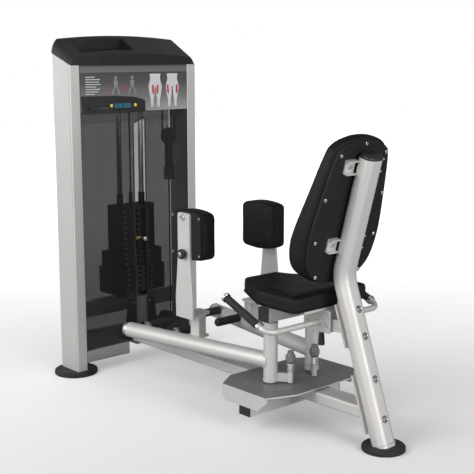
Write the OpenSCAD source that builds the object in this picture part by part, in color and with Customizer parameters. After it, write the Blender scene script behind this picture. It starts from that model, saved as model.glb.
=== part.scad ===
// Seated hip abductor and adductor machine: a weight-stack tower, a base beam with two swinging leg
// arms, an adjustable seat and a reclined backrest on a bent rear leg.
// X runs from the tower to the rear leg, Y to the seated user's right and Z up. The origin is on the
// floor in the middle of the footprint. Inside the modules, x is counted from the tower's front plane.

/* [Tower] */
// Width over both uprights
tower_w = 753; // [740:1:770]
// Depth of an upright
tower_d = 149; // [146:1:152]
// Width of an upright seen from the front
upright_w = 53.5; // [50:0.5:56]
// Height of an upright at its front edge
upright_h = 1500; // [1490:1:1510]
// Height of the top cap at its highest point
cap_top = 1640; // [1630:1:1650]
// Height where the tinted front cover starts
shroud_bottom = 55; // [40:1:60]
// Lower edge of the instruction placard
placard_bottom = 1276; // [1270:1:1280]

/* [Weight stack] */
// Height of one weight plate with its gap
plate_pitch = 26.4; // [26:0.1:26.6]
// Underside of the lowest plate
stack_bottom = 363; // [360:1:366]
// Sideways offset of the stack from the middle of the tower
stack_y = 20; // [16:1:24]
// Number of plates that stay down under the selector pin
resting_count = 10; // [9:1:11]

/* [Base] */
// Width of the base beam
beam_w = 100; // [96:1:104]
// Height of the base beam
beam_h = 50; // [48:1:50]
// Underside of the base beam
beam_bottom = 118; // [118:1:118]
// Radius of a rubber foot under the tower
foot_r = 105; // [100:1:106]
// Radius of the rubber foot under the rear leg
rear_foot_r = 88; // [84:1:90]
// Thickness of a rubber foot
foot_t = 20; // [18:1:22]
// Top of the platform plate
platform_top = 181; // [181:1:181]

/* [Leg arms] */
// Distance of the arm pivots behind the tower front
pivot_x = 1090.5; // [1088:0.5:1092]
// Distance of each arm pivot from the middle plane
pivot_y = 125.3; // [125:0.1:126]
// Angle of each arm outward from straight ahead
arm_splay = 10; // [9:0.5:11]
// Length of an arm from its pivot to its rounded end
arm_l = 847; // [840:1:850]
// Diameter of an arm tube
arm_d = 70; // [66:1:72]
// Height of the arm axis
arm_z = 274.6; // [274:0.2:276]

/* [Seat and backrest] */
// Top of the seat cushion
seat_top = 600; // [595:1:605]
// Thickness of the seat cushion
seat_t = 65; // [60:1:66]
// Recline of the backrest from upright
back_tilt = 15.2; // [15:0.1:15.4]
// Lean of the lower part of the rear leg
leg_lean = 19.2; // [19:0.1:19.4]
// Width of the rear leg tube
leg_w = 92; // [88:1:94]
// Depth of the rear leg tube
leg_d = 74; // [72:1:74]

/* [Hidden] */
$fn = 64;

SILVER = "#c9c5c1";
DARK = "#4a4a4c";
BLACK = "#1c1c1e";
RUBBER = "#161616";
STEEL = "#9a9a9c";
IRON = "#262628";
CHROME = "#e2e4e6";

run_gap = 0.05;                       // radial clearance of a running fit
touch = 0.2;                          // gap between faces that slide past each other
rear_foot_x = 1611;
tower_back = -182;                    // rearmost point of the rear cover
origin_x = (rear_foot_x + rear_foot_r + tower_back) / 2;

// tower
upright_rise = 54;                    // the upright's top climbs by this much to the rear
shroud_x = -8;
shroud_t = 4;
inner_half = tower_w / 2 - upright_w;
rail_x = -147;                        // rear face of the tower crossmembers
rail_d = 40;
rail_front = rail_x + rail_d;
stack_x = -87;
rod_half = 67;                        // half the distance between the guide rods
rod_r = 12.5;
base_plate_z = 322;
base_plate_t = 8;
plate_count = 16;
plate_gap = 0.5;
top_plate_t = 18.6;
stack_top = stack_bottom + plate_count * plate_pitch;
pin_z = stack_bottom + (resting_count + 0.5) * plate_pitch;
pin_r = 6;
stem_r = 10;
stem_top = stack_top + 76;

// cables and pulleys
cable_r = 4;
rope_gap = 0.15;                      // between a cable and its groove
groove_half = cable_r + 0.6;          // half width of a groove at its floor
groove_top = 7;                       // half width of a groove at its rim
pulley_r = 40;                        // radius of the cable's centre line on a pulley
pulley_t = 18;
axle_r = 6;
top_pulley_z = 1445;
float_y = 268;
float_z = 1134;
block_bottom = 910;
anchor_z = 1240;
bottom_cable_z = 130;
bottom_pulley_z = bottom_cable_z + pulley_r;
rod_plate_z = 1385;
cam_cable_z = 156;
cam_r = 85;                           // radius of the cable's centre line on a cam
idler_r = (cam_cable_z - bottom_cable_z) / 2;
idler_x = 1345;
equaliser_x = 1235;
equaliser_r = pivot_y - cam_r;

// base
beam_top = beam_bottom + beam_h;
beam_wall = 4;
beam_start = 5;
cross_w = 65;
cross_h = 50;
cross_half = 271;
platform_t = 6;
platform_half = 285;
index_r = 105;
flap_drop = 69;

// arms
shaft_r = 20;
sleeve_r = 30;
sleeve_bottom = 186;
sleeve_top = 446;
bridge_z = 452;
pop_radius = 85.5;
pop_angle = 38.3;
pop_steps = [0 : 6 : 36];
pop_r = 3.5;
peg_r = 19;
peg_tip = 175;
peg_z = 300;
peg_at = [560, 740];

// pads: the swivel post stands beside the arm, on its inner side
swivel = [660, -163];
swivel_r = 15;
pad_mid = [690, 786];
pad_w = 232;
pad_h = 218;
pad_arch = 12;
bar_x = 684;
bar_y = -262;
bar_t = 10;
board_t = 12;
pad_t = 80;

// seat
rail_z = 440;
rail_h = 50;
rail_w = 60;
rail_start = 1195;
sleeve_x = 1215;
sleeve_l = 130;
pan_t = 10;
seat_bottom = seat_top - seat_t;
handle_x = 1290;
handle_z = 470;
handle_y = 334;
handle_r = 12.5;
handle_bend = 45;
handle_rise = 23;
seat_pin_x = 1266;
seat_pin_r = 4;

// rear leg: its axis has a corner, rounded by a bend
corner_x = 1383;
corner_z = 675;
leg_r = 30;
leg_wall = 4;
leg_bend = 150;
leg_turn = back_tilt + leg_lean;
bend_run = leg_bend * tan(leg_turn / 2);
upper_l = 498;
lower_l = 760;
board_x = 1478.3;                     // a point on the backrest board's back face
board_z = 1169.7;
backboard_t = 15;
back_t = 65;

// ---------- helpers ----------

module placed() translate([-origin_x, 0, 0]) children();

module mirrored() mirror([0, 1, 0]) children();

module both_sides() {
    children();
    mirrored() children();
}

// rounded rectangle made of squares and circles, centred
module rounded(w, h, r) {
    square([w - 2 * r, h], center = true);
    square([w, h - 2 * r], center = true);
    for (x = [-1, 1], y = [-1, 1])
        translate([x * (w / 2 - r), y * (h / 2 - r)]) circle(r);
}

// a flat outline given in x and z, extruded along y from y0 to y1
module side_plate(y0, y1) translate([0, y1, 0]) rotate([90, 0, 0]) linear_extrude(y1 - y0) children();

// a flat outline given in y and z, extruded along x from x0 to x1
module front_plate(x0, x1) translate([x0, 0, 0]) rotate([90, 0, 90]) linear_extrude(x1 - x0) children();

module box(x0, x1, y0, y1, z0, z1) translate([x0, y0, z0]) cube([x1 - x0, y1 - y0, z1 - z0]);

// box tube along x, y or z between two ends
module box_tube_y(x0, x1, y0, y1, z0, z1, wall) difference() {
    box(x0, x1, y0, y1, z0, z1);
    box(x0 + wall, x1 - wall, y0 - 1, y1 + 1, z0 + wall, z1 - wall);
}

module rod_x(x0, x1, r) translate([x0, 0, 0]) rotate([0, 90, 0]) cylinder(x1 - x0, r = r);

module rod_y(y0, y1, r) translate([0, y0, 0]) rotate([-90, 0, 0]) cylinder(y1 - y0, r = r);

// grooved cable wheel about the z axis, centred on its own middle
module pulley(r, t, bore) difference() {
    rotate_extrude() polygon([
        [bore, -t / 2], [r + 4, -t / 2], [r + 4, -groove_top], [r - cable_r - rope_gap, -groove_half],
        [r - cable_r - rope_gap, groove_half], [r + 4, groove_top], [r + 4, t / 2], [bore, t / 2],
    ]);
    for (a = [0 : 60 : 300])
        rotate([0, 0, a]) translate([(r + bore) / 2, 0, -t]) cylinder(2 * t, r = (r - bore) / 5);
}

// quarter of a cable loop about the z axis, from the angle start
module cable_arc(r, start, sweep) rotate([0, 0, start])
    rotate_extrude(angle = sweep) translate([r, 0]) circle(cable_r);

// ---------- tower ----------

module upright_outline() polygon([
    [0, foot_t], [0, upright_h], [-tower_d, upright_h + upright_rise], [-tower_d, foot_t],
]);

module upright() difference() {
    intersection() {
        translate([-tower_d / 2, -tower_w / 2 + upright_w / 2, 0])
            linear_extrude(upright_h + 100) rounded(tower_d, upright_w, 4);
        side_plate(-tower_w, 0) upright_outline();
    }
    translate([-tower_d / 2, -tower_w / 2 + upright_w / 2, foot_t + 6])
        linear_extrude(upright_h + 100) rounded(tower_d - 6, upright_w - 6, 2);
    box(-11, -8, -tower_w / 2 - 1, -tower_w / 2 + 2, 0, upright_h + 100);
}

module uprights() placed() color(SILVER) both_sides() upright();

module end_flange(z0, z1) for (s = [-1, 1])
    box(rail_x - 2, rail_front + 12, s * inner_half - (s > 0 ? 8 : 0), s * inner_half + (s > 0 ? 0 : 8),
        z0 - 10, z1 + 10);

module cross_rail(z0, z1) {
    box_tube_y(rail_x, rail_front, -inner_half, inner_half, z0, z1, 4);
    end_flange(z0, z1);
}

module tower_crossmembers() placed() color(SILVER) {
    cross_rail(252, base_plate_z);
    cross_rail(83, 173);
    cross_rail(1460, 1500);
    box(-150, -15, -190, 190, base_plate_z, base_plate_z + base_plate_t);
}

// the cap's outer surface is an arched bar that climbs to the rear
cap_tilt = atan((cap_top - upright_h - upright_rise + 1) / 155);
cap_front_z = cap_top - 155 * tan(cap_tilt);

module cap_arch(inset) {
    arch_r = 4062;
    shoulder_r = 80;
    translate([0, 0, cap_front_z]) rotate([0, cap_tilt, 0])
        front_plate(-400, 200) intersection() {
            translate([0, -arch_r]) circle(arch_r - inset, $fn = 360);
            translate([0, -198 - inset]) rounded(tower_w - 2 * inset, 400, shoulder_r);
        }
}

cap_slope = upright_rise / tower_d;

module cap_profile(front, back, drop) polygon([
    [front, upright_h - front * cap_slope - drop], [front, 1700],
    [back, 1700], [back, upright_h - back * cap_slope - drop],
]);

module tray_box(wall, floor_z) box(-135 - wall, -32 + wall, -290 - wall, 15 + wall, floor_z, 1700);

module top_cap() placed() color(BLACK) {
    difference() {
        intersection() {
            side_plate(-tower_w, tower_w) cap_profile(2, -155, -touch);
            cap_arch(0);
        }
        difference() {
            intersection() {
                side_plate(-tower_w / 2 + 5, tower_w / 2 - 5) cap_profile(-3, -150, 10);
                cap_arch(5);
            }
            tray_box(4, 1556);
        }
        tray_box(0, 1560);
    }
    for (y = [-75, -35])
        box(-134, -60, y, y + 4, 1559, 1575);
}

module slot_outline() {
    bottom = 200;
    polygon([[-16, bottom], [56, bottom], [56, 1224], [44, 1240], [-16, 1214]]);
    translate([44, 1228]) circle(12);
}

module front_shroud() placed() color([0.25, 0.25, 0.27, 0.6])
    front_plate(shroud_x, shroud_x + shroud_t) difference() {
        translate([-inner_half + 1, shroud_bottom])
            square([2 * inner_half - 2, upright_h - shroud_bottom - 1]);
        slot_outline();
        translate([-65, 0]) square([170, 185]);
    }

module rear_shroud() placed() color([0.25, 0.25, 0.27, 0.6]) {
    sag = 28;
    half = inner_half - 1;
    bow_r = (half * half + sag * sag) / (2 * sag);
    translate([tower_back + bow_r, 0, shroud_bottom]) linear_extrude(upright_h - shroud_bottom)
        intersection() {
            difference() {
                circle(bow_r, $fn = 360);
                circle(bow_r - 3, $fn = 360);
            }
            translate([-bow_r - 10, -half]) square([sag + 10, 2 * half]);
        }
}

module instruction_placard() placed() color("#77787c")
    front_plate(shroud_x + shroud_t, shroud_x + shroud_t + 3)
        translate([-inner_half + 1, placard_bottom])
            square([2 * inner_half - 2, upright_h - placard_bottom - 1]);

console_x = -1;
console_t = 14;
button_y = [-156, -15];
button_z = 1307;
button_r = 8;
screen = [-138, -42, 1293, 1318.5];

module console_outline() {
    polygon([[-318, 1270], [35, 1270], [47, 1282], [47, 1325], [30, 1334], [-24, 1346.5],
             [-120, 1353], [-318, 1355]]);
    translate([35, 1282]) circle(12);
}

module console_housing() placed() color(BLACK) difference() {
    front_plate(console_x, console_x + console_t) console_outline();
    box(console_x + console_t - 3, 50, screen[0], screen[1], screen[2], screen[3]);
    for (y = button_y)
        translate([0, y, button_z]) rod_x(console_x + 4, 50, button_r + run_gap);
    translate([0, -289, 1296]) rod_x(console_x + 6, 50, 5);
}

module console_screen() placed() color("#3f7f92")
    box(console_x + console_t - 3, console_x + console_t - 0.5,
        screen[0] + 0.1, screen[1] - 0.1, screen[2] + 0.1, screen[3] - 0.1);

module button(y) color("#e8cf63") translate([0, y, button_z])
    rod_x(console_x + 6.5, console_x + console_t + 2.5, button_r);

module left_button() placed() button(button_y[0]);

module right_button() placed() button(button_y[1]);

// ---------- weight stack ----------

module at_stack() translate([stack_x, stack_y, 0]) children();

module guide_rods() placed() color(CHROME) at_stack()
    for (s = [-1, 1])
        translate([0, s * rod_half, base_plate_z + base_plate_t])
            cylinder(rod_plate_z - base_plate_z - base_plate_t, r = rod_r);

module stack_bumpers() placed() color(RUBBER) at_stack()
    for (s = [-1, 1])
        translate([0, s * rod_half, base_plate_z + base_plate_t]) difference() {
            cylinder(stack_bottom - base_plate_z - base_plate_t, r = 24);
            translate([0, 0, -1]) cylinder(100, r = rod_r);
        }

// the plates are wide at the bottom of the stack and narrow at its top
function plate_size(i) = i < 5 ? [139, 314] : i < 8 ? [110, 300] : [90, 230];

module weight_plate(i) {
    size = plate_size(i);
    translate([0, 0, stack_bottom + i * plate_pitch]) difference() {
        linear_extrude(plate_pitch - plate_gap) difference() {
            rounded(size[0], size[1], 5);
            for (s = [-1, 1]) translate([0, s * rod_half]) circle(rod_r + 0.5);
            circle(stem_r + 1);
        }
        translate([0, 0, plate_pitch / 2]) rod_x(0, 100, pin_r + 0.5);
    }
}

module resting_plates() placed() color(IRON) at_stack()
    for (i = [0 : resting_count - 1]) weight_plate(i);

module lifted_plates() placed() color(IRON) at_stack()
    for (i = [resting_count : plate_count - 1]) weight_plate(i);

module top_plate() placed() color(IRON) at_stack() difference() {
    union() {
        translate([0, 0, stack_top]) linear_extrude(top_plate_t) rounded(90, 230, 5);
        for (s = [-1, 1])
            translate([0, s * rod_half, stack_top]) cylinder(74, r = 16.5);
        translate([0, 0, stack_bottom + 8]) cylinder(stem_top - stack_bottom - 8, r = stem_r);
    }
    for (s = [-1, 1])
        translate([0, s * rod_half, stack_top - 1]) cylinder(100, r = rod_r + 0.5);
    for (i = [0 : plate_count - 1])
        translate([0, 0, stack_bottom + (i + 0.5) * plate_pitch]) rod_x(-20, 20, pin_r + 0.5);
}

module selector_pin() placed() color(CHROME) translate([0, stack_y, pin_z]) {
    rod_x(stack_x - stem_r + 2, 4, pin_r);
    rod_x(4, 26, 13);
}

// ---------- pulleys and cables ----------

centre_pulley = [stack_y + pulley_r, top_pulley_z];
outer_pulley = [float_y - 2 * pulley_r, top_pulley_z];

// wheel whose axle runs along x, at a place given in y and z
module wheel_x(at, r = pulley_r) translate([stack_x, at[0], at[1]]) rotate([0, 90, 0])
    pulley(r, pulley_t, axle_r + run_gap);

module centre_top_pulley() placed() color(DARK) wheel_x(centre_pulley);

module outer_top_pulley() placed() color(DARK) wheel_x(outer_pulley);

module floating_pulley() placed() color(DARK) wheel_x([float_y, float_z]);

module bottom_pulley() placed() color(DARK) wheel_x([float_y - pulley_r, bottom_pulley_z]);

turn_x = stack_x + pulley_r;

module turning_pulley() placed() color(DARK)
    translate([turn_x, pulley_r, bottom_cable_z]) pulley(pulley_r, pulley_t, axle_r + run_gap);

module axle_x(at) translate([0, at[0], at[1]]) {
    rod_x(rail_front + 8, stack_x + pulley_t / 2 + 4, axle_r);
    rod_x(stack_x + pulley_t / 2 + 1, stack_x + pulley_t / 2 + 7, 10);
}

module pulley_brackets() placed() color(STEEL) {
    // top hanger with the guide rod plate and the fixed end of the cable
    difference() {
        union() {
            box(rail_front, rail_front + 8, -75, 314, rod_plate_z, 1500);
            box(rail_front, rail_front + 8, 292, 314, anchor_z - 5, 1500);
            box(rail_front, -40, -75, 115, rod_plate_z, rod_plate_z + 10);
        }
        translate([stack_x, stack_y, 0]) cylinder(2000, r = 8);
    }
    axle_x(centre_pulley);
    axle_x(outer_pulley);
    box(rail_front + 8, stack_x + 8, float_y + pulley_r - 10, float_y + pulley_r + 10,
        anchor_z, anchor_z + 22);
    // plate and axle of the lower upright wheel
    box(rail_front, rail_front + 8, 205, 252, 95, 200);
    axle_x([float_y - pulley_r, bottom_pulley_z]);
    // horizontal housing that joins the tower to the base beam
    box(rail_front, beam_start + 40, -55, 95, beam_bottom - 8, beam_bottom);
    box(rail_front, beam_start + 40, -55, 95, beam_top, beam_top + 8);
    translate([turn_x, pulley_r, beam_bottom]) cylinder(beam_h, r = axle_r);
}

module floating_block() placed() color(DARK) translate([stack_x, float_y, 0]) {
    for (s = [-1, 1])
        translate([s * 12 - 2, -15, block_bottom + 60]) cube([4, 30, float_z - block_bottom - 45]);
    translate([-14, -24.5, block_bottom]) cube([28, 49, 70]);
    translate([0, 0, float_z]) rod_x(-16, 16, axle_r);
}

module pulley_cover() placed() color(DARK) difference() {
    front_plate(-14.8, -11.8)
        polygon([[-62, base_plate_z + 8], [100, base_plate_z + 8], [122, 182], [-84, 182]]);
    for (y = [-30, 68])
        translate([0, y, base_plate_z - 12]) rod_x(-50, 50, 3);
}

module stack_cable() placed() color(BLACK) at_stack()
    translate([0, 0, stem_top]) cylinder(top_pulley_z - stem_top, r = cable_r);

// the cable that hangs from the top passes under the floating wheel and ends at its anchor
module float_cable_run() placed() color(BLACK)
    translate([stack_x, float_y - pulley_r, float_z]) cylinder(top_pulley_z - float_z, r = cable_r);

module float_cable_tail() placed() color(BLACK)
    translate([stack_x, float_y + pulley_r, float_z]) cylinder(anchor_z - float_z, r = cable_r);

module float_cable_loop() placed() color(BLACK) translate([stack_x, float_y, float_z])
    rotate([90, 0, 90]) cable_arc(pulley_r, 180, 180);

module pull_cable() placed() color(BLACK) translate([stack_x, float_y, bottom_pulley_z])
    cylinder(block_bottom - bottom_pulley_z, r = cable_r);

module fixed_cables() placed() color(BLACK) {
    translate([stack_x, centre_pulley[0], top_pulley_z]) rotate([90, 0, 90])
        cable_arc(pulley_r, 90, 90);
    translate([stack_x, 0, top_pulley_z + pulley_r])
        rod_y(centre_pulley[0], outer_pulley[0], cable_r);
    translate([stack_x, outer_pulley[0], top_pulley_z]) rotate([90, 0, 90])
        cable_arc(pulley_r, 0, 90);
    translate([stack_x, float_y - pulley_r, bottom_pulley_z]) rotate([90, 0, 90])
        cable_arc(pulley_r, 270, 90);
    translate([stack_x, 0, bottom_cable_z]) rod_y(pulley_r, float_y - pulley_r, cable_r);
    translate([turn_x, pulley_r, bottom_cable_z]) cable_arc(pulley_r, 180, 90);
    translate([0, 0, bottom_cable_z]) rod_x(turn_x, idler_x, cable_r);
    translate([idler_x, 0, bottom_cable_z + idler_r]) rotate([90, 0, 0])
        cable_arc(idler_r, 270, 180);
}

// sliding wheel that shares the pull between the two cams
module cable_equaliser() placed() color(STEEL) translate([0, 0, cam_cable_z]) {
    translate([equaliser_x, 0, 0]) cylinder(5, r = equaliser_r - cable_r, center = true);
    translate([equaliser_x, 0, 0]) cable_arc(equaliser_r, -90, 180);
    for (s = [-1, 1])
        translate([0, s * equaliser_r, 0]) rod_x(pivot_x, equaliser_x, cable_r);
    rod_x(equaliser_x + equaliser_r - cable_r - 1, idler_x, cable_r);
}

// spool with a flange on each side of the cable
module rear_idler() placed() color(IRON)
    translate([idler_x, 0, bottom_cable_z + idler_r]) rotate([90, 0, 0]) difference() {
        union() {
            cylinder(36, r = idler_r - cable_r - rope_gap, center = true);
            for (z = [groove_half, -18])
                translate([0, 0, z]) cylinder(18 - groove_half, r = 18);
        }
        cylinder(40, r = 4, center = true);
    }

// ---------- base ----------

module corner_frame(angle) translate([corner_x, 0, corner_z]) rotate([0, angle, 0]) children();

// frames whose z runs along the two halves of the leg, away from the corner
module lower_frame() corner_frame(180 - leg_lean) children();

module upper_frame() corner_frame(back_tilt) children();

module behind_leg_front() lower_frame()
    translate([-500, -100, -100]) cube([500 + leg_d / 2 + 8, 200, 1200]);

module leg_flange(z0, z1) lower_frame()
    translate([leg_d / 2, -leg_w / 2, z0]) cube([8, leg_w, z1 - z0]);

module base_frame() placed() color(SILVER) {
    difference() {
        translate([0, 0, (beam_bottom + beam_top) / 2]) front_plate(beam_start, 1600)
            rounded(beam_w, beam_h, 8);
        translate([0, 0, (beam_bottom + beam_top) / 2]) front_plate(beam_start - 1, 1700)
            rounded(beam_w - 2 * beam_wall, beam_h - 2 * beam_wall, 5);
        behind_leg_front();
        // windows for the cams and for the cable between them
        box(pivot_x - 80, pivot_x + 80, -beam_w, beam_w, cam_cable_z - 8, cam_cable_z + 8);
    }
    translate([idler_x, 0, bottom_cable_z + idler_r])
        rod_y(-beam_w / 2 + 2, beam_w / 2 - 2, 4 - run_gap);
    box_tube_y(pivot_x - cross_w / 2, pivot_x + cross_w / 2, -cross_half, cross_half,
               beam_bottom - cross_h, beam_bottom, 4);
    leg_flange(400, 640);
}

module platform_outline() polygon([
    [905, -190], [965, -platform_half], [1235, -platform_half], [1282, -160],
    [1282, 160], [1235, platform_half], [965, platform_half], [905, 190],
]);

module flap_outline() polygon([
    [965, platform_top], [1235, platform_top], [1235, platform_top - 22],
    [1178, platform_top - flap_drop], [985, platform_top - flap_drop], [960, platform_top - flap_drop + 14],
]);

module platform() placed() color(SILVER) {
    translate([0, 0, platform_top - platform_t]) linear_extrude(platform_t) difference() {
        platform_outline();
        for (s = [-1, 1])
            translate([pivot_x, s * pivot_y]) circle(index_r + 1);
    }
    both_sides() side_plate(-platform_half, -platform_half + 5) flap_outline();
    for (x = [925, 1205])
        box(x, x + 60, -44, 44, beam_top, platform_top - platform_t);
}

module arm_shafts() placed() color(STEEL) both_sides() translate([pivot_x, -pivot_y, 0]) {
    translate([0, 0, beam_bottom]) cylinder(bridge_z - beam_bottom, r = shaft_r);
    translate([0, 0, beam_bottom]) cylinder(8, r = 32);
}

module foot_disc(r) rotate_extrude() polygon([
    [0, 0], [r - 2, 0], [r, 2], [r, foot_t - 4], [r - 4, foot_t], [0, foot_t],
]);

module rubber_feet() placed() color(RUBBER) {
    both_sides() translate([-66, -347, 0]) foot_disc(foot_r);
    translate([rear_foot_x, 0, 0]) foot_disc(rear_foot_r);
}

// ---------- leg arms: each module draws the left one, the right one is its mirror image ----------

module cam() translate([pivot_x, -pivot_y, 0]) difference() {
    union() {
        translate([0, 0, cam_cable_z - 5]) cylinder(10, r = cam_r - cable_r - run_gap);
        translate([0, 0, 128]) cylinder(platform_top - 128, r = 30);
        translate([0, 0, platform_top - platform_t]) cylinder(platform_t, r = index_r);
    }
    translate([0, 0, 100]) cylinder(200, r = shaft_r + run_gap);
    for (a = pop_steps)
        rotate([0, 0, pop_angle + a])
            translate([pop_radius, 0, 150]) cylinder(100, r = pop_r + 0.4);
}

module left_cam() placed() color(SILVER) cam();

module right_cam() placed() color(SILVER) mirrored() cam();

// frame with x along the arm, away from the pivot, and y outward
module along_arm() translate([pivot_x, -pivot_y, 0]) rotate([0, 0, 180 + arm_splay]) children();

module at_pop_pin() translate([pivot_x, -pivot_y, 0])
    rotate([0, 0, pop_angle]) translate([pop_radius, 0, 0]) children();

// tube closed by a domed end, turned about the arm's axis
module arm_tube() translate([0, 0, arm_z]) rotate([0, 90, 0]) rotate_extrude() polygon([
    [arm_d / 2 - 4, 0], [arm_d / 2, 0], [arm_d / 2, arm_l - 16], [arm_d / 2 - 3, arm_l - 9],
    [arm_d / 2 - 11, arm_l - 3], [arm_d / 2 - 21, arm_l], [0, arm_l], [0, arm_l - 8],
    [arm_d / 2 - 16, arm_l - 10], [arm_d / 2 - 4, arm_l - 20],
]);

module arm() {
    difference() {
        union() {
            translate([pivot_x, -pivot_y, sleeve_bottom])
                cylinder(sleeve_top - sleeve_bottom, r = sleeve_r);
            along_arm() arm_tube();
            translate([pivot_x, -pivot_y, 0]) rotate([0, 0, pop_angle])
                box(sleeve_r - 4, pop_radius, -9, 9, 188, 224);
            at_pop_pin() {
                translate([0, 0, 184]) cylinder(52, r = 12);
                translate([0, 0, 235]) cylinder(32, r = 15.5);
            }
        }
        translate([pivot_x, -pivot_y, 100]) cylinder(600, r = shaft_r + run_gap);
        at_pop_pin() translate([0, 0, 100]) cylinder(200, r = pop_r + run_gap);
    }
    along_arm() {
        // shelf and spigot that carry the pad bracket
        difference() {
            box(396, 466, -70, 0, 299, 310);
            translate([0, 0, arm_z]) rod_x(300, 600, arm_d / 2 - 4);
        }
        for (u = peg_at)
            translate([u, 0, peg_z]) rotate([0, 0, -arm_splay]) rod_y(-peg_tip + 12, -24, 8);
    }
    translate([swivel[0], swivel[1], 309]) cylinder(96, r = swivel_r);
}

module left_arm() placed() color(SILVER) arm();

module right_arm() placed() color(SILVER) mirrored() arm();

module peg_sleeve() rotate([90, 0, 0]) difference() {
    rotate_extrude() polygon([
        [0, 38], [peg_r, 38], [peg_r, peg_tip - 6], [peg_r - 6, peg_tip], [0, peg_tip],
    ]);
    cylinder(peg_tip - 11, r = 8 + run_gap);
}

module foot_pegs() along_arm()
    for (u = peg_at)
        translate([u, 0, peg_z]) rotate([0, 0, -arm_splay]) peg_sleeve();

module left_foot_pegs() placed() color(RUBBER) foot_pegs();

module right_foot_pegs() placed() color(RUBBER) mirrored() foot_pegs();

module pop_pin() at_pop_pin() {
    translate([0, 0, 171]) cylinder(100, r = pop_r);
    translate([0, 0, 268]) rotate_extrude() polygon([
        [0, 0], [14, 0], [20, 10], [20, 34], [13, 46], [13, 54], [0, 54],
    ]);
}

module left_pop_pin() placed() color(DARK) pop_pin();

module right_pop_pin() placed() color(DARK) mirrored() pop_pin();

module bar_outline() {
    polygon([
        [bar_x - 57, 406], [bar_x + 57, 406], [bar_x + 58, 500], [bar_x + 43, 655],
        [bar_x + 40, 700], [bar_x + 40, 862], [bar_x + 28, 874], [bar_x - 28, 874],
        [bar_x - 40, 862], [bar_x - 40, 700], [bar_x - 43, 655], [bar_x - 58, 500],
    ]);
    for (s = [-1, 1])
        translate([bar_x + s * 28, 862]) circle(12);
}

module shelf_outline() polygon([
    [bar_x - 56, bar_y + 2], [bar_x + 56, bar_y + 2], [swivel[0] + 55, swivel[1] + 20],
    [swivel[0] + 40, swivel[1] + 34], [swivel[0] - 30, swivel[1] + 34],
]);

pad_knob_at = [bar_x + 4, 695];

module pad_bracket() difference() {
    union() {
        translate([swivel[0], swivel[1], 310 + touch]) rotate([0, 0, arm_splay])
            linear_extrude(101) rounded(52, 52, 6);
        translate([0, 0, 410]) linear_extrude(10) shelf_outline();
        side_plate(bar_y, bar_y + bar_t) bar_outline();
        translate([bar_x, 0, 854]) rod_y(bar_y - 5, bar_y + 1, 11);
    }
    translate([swivel[0], swivel[1], 300]) cylinder(106, r = swivel_r + run_gap);
    translate([pad_knob_at[0], 0, pad_knob_at[1]])
        rod_y(bar_y - 20, bar_y + bar_t + 1, pin_r + run_gap);
}

module left_pad_bracket() placed() color(SILVER) pad_bracket();

module right_pad_bracket() placed() color(SILVER) mirrored() pad_bracket();

// rounded rectangle bowed at its top and bottom; each pass bounds one of the two bows
module pad_outline(inset) {
    arch_r = (pad_w * pad_w / 4 + pad_arch * pad_arch) / (2 * pad_arch);
    intersection_for(s = [-1, 1])
        translate(pad_mid) intersection() {
            rounded(pad_w - 2 * inset, pad_h + 8, 22);
            translate([0, s * (arch_r - pad_h / 2 + inset)]) circle(arch_r, $fn = 240);
        }
}

module pad_board() difference() {
    side_plate(bar_y + bar_t, bar_y + bar_t + board_t) pad_outline(0);
    translate([pad_knob_at[0], 0, pad_knob_at[1]])
        rod_y(bar_y, bar_y + bar_t + board_t - 3, pin_r + run_gap);
}

// board and cushion
module thigh_pad() {
    pad_board();
    side_plate(bar_y + bar_t + board_t + touch, bar_y + bar_t + board_t + pad_t) pad_outline(1);
}

module left_thigh_pad() placed() color(BLACK) thigh_pad();

module right_thigh_pad() placed() color(BLACK) mirrored() thigh_pad();

module pad_knob() translate([pad_knob_at[0], 0, pad_knob_at[1]]) {
    rod_y(bar_y - 6, bar_y + bar_t + touch, pin_r);
    translate([0, bar_y - touch, 0]) rotate([90, 0, 0]) rotate_extrude() polygon([
        [0, 0], [12, 0], [12, 6], [21, 8], [21, 22], [17, 26], [0, 26],
    ]);
}

module left_pad_knob() placed() color(BLACK) pad_knob();

module right_pad_knob() placed() color(BLACK) mirrored() pad_knob();

// ---------- rear leg, seat and backrest ----------

module leg_section(inset) rounded(leg_d - 2 * inset, leg_w - 2 * inset, leg_r - inset);

module leg_wall_section() difference() {
    leg_section(0);
    leg_section(leg_wall);
}

// two straight tubes and the bend between them
module leg_tube() {
    upper_frame() translate([0, 0, bend_run + touch]) linear_extrude(upper_l - bend_run - touch)
        leg_wall_section();
    lower_frame() translate([0, 0, bend_run + touch]) linear_extrude(lower_l - bend_run)
        leg_wall_section();
    centre = leg_bend / cos(leg_turn / 2);
    middle = (leg_lean - back_tilt) / 2;
    translate([corner_x + centre * cos(middle), 0, corner_z + centre * sin(middle)])
        rotate([90, 0, 0]) rotate([0, 0, 180 + middle - leg_turn / 2])
            rotate_extrude(angle = leg_turn) translate([leg_bend, 0]) leg_wall_section();
}

// frame on the backrest board's back face: z up the slope, x to the rear
module back_frame() translate([board_x, 0, board_z]) rotate([0, back_tilt, 0]) children();

// lug beside the leg, with a flange at its top and bottom
module back_bracket(z0) {
    difference() {
        translate([0, leg_w / 2 + touch, z0]) cube([6, 55, 57]);
        translate([0, 72, z0 + 28.5]) rod_x(-1, 30, 5);
    }
    for (z = [z0, z0 + 52])
        translate([5, leg_w / 2 + touch, z]) cube([19, 55, 5]);
}

module rear_leg() placed() color(SILVER) {
    difference() {
        leg_tube();
        box(0, 3000, -500, 500, -500, foot_t);
        lower_frame() for (z = leg_bolts_at)
            translate([0, 0, z]) rod_x(-60, 60, 6);
    }
    both_sides() back_frame() for (z = [-75, -405]) back_bracket(z);
}

leg_bolts_at = [148, 258, 432, 594];

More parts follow.
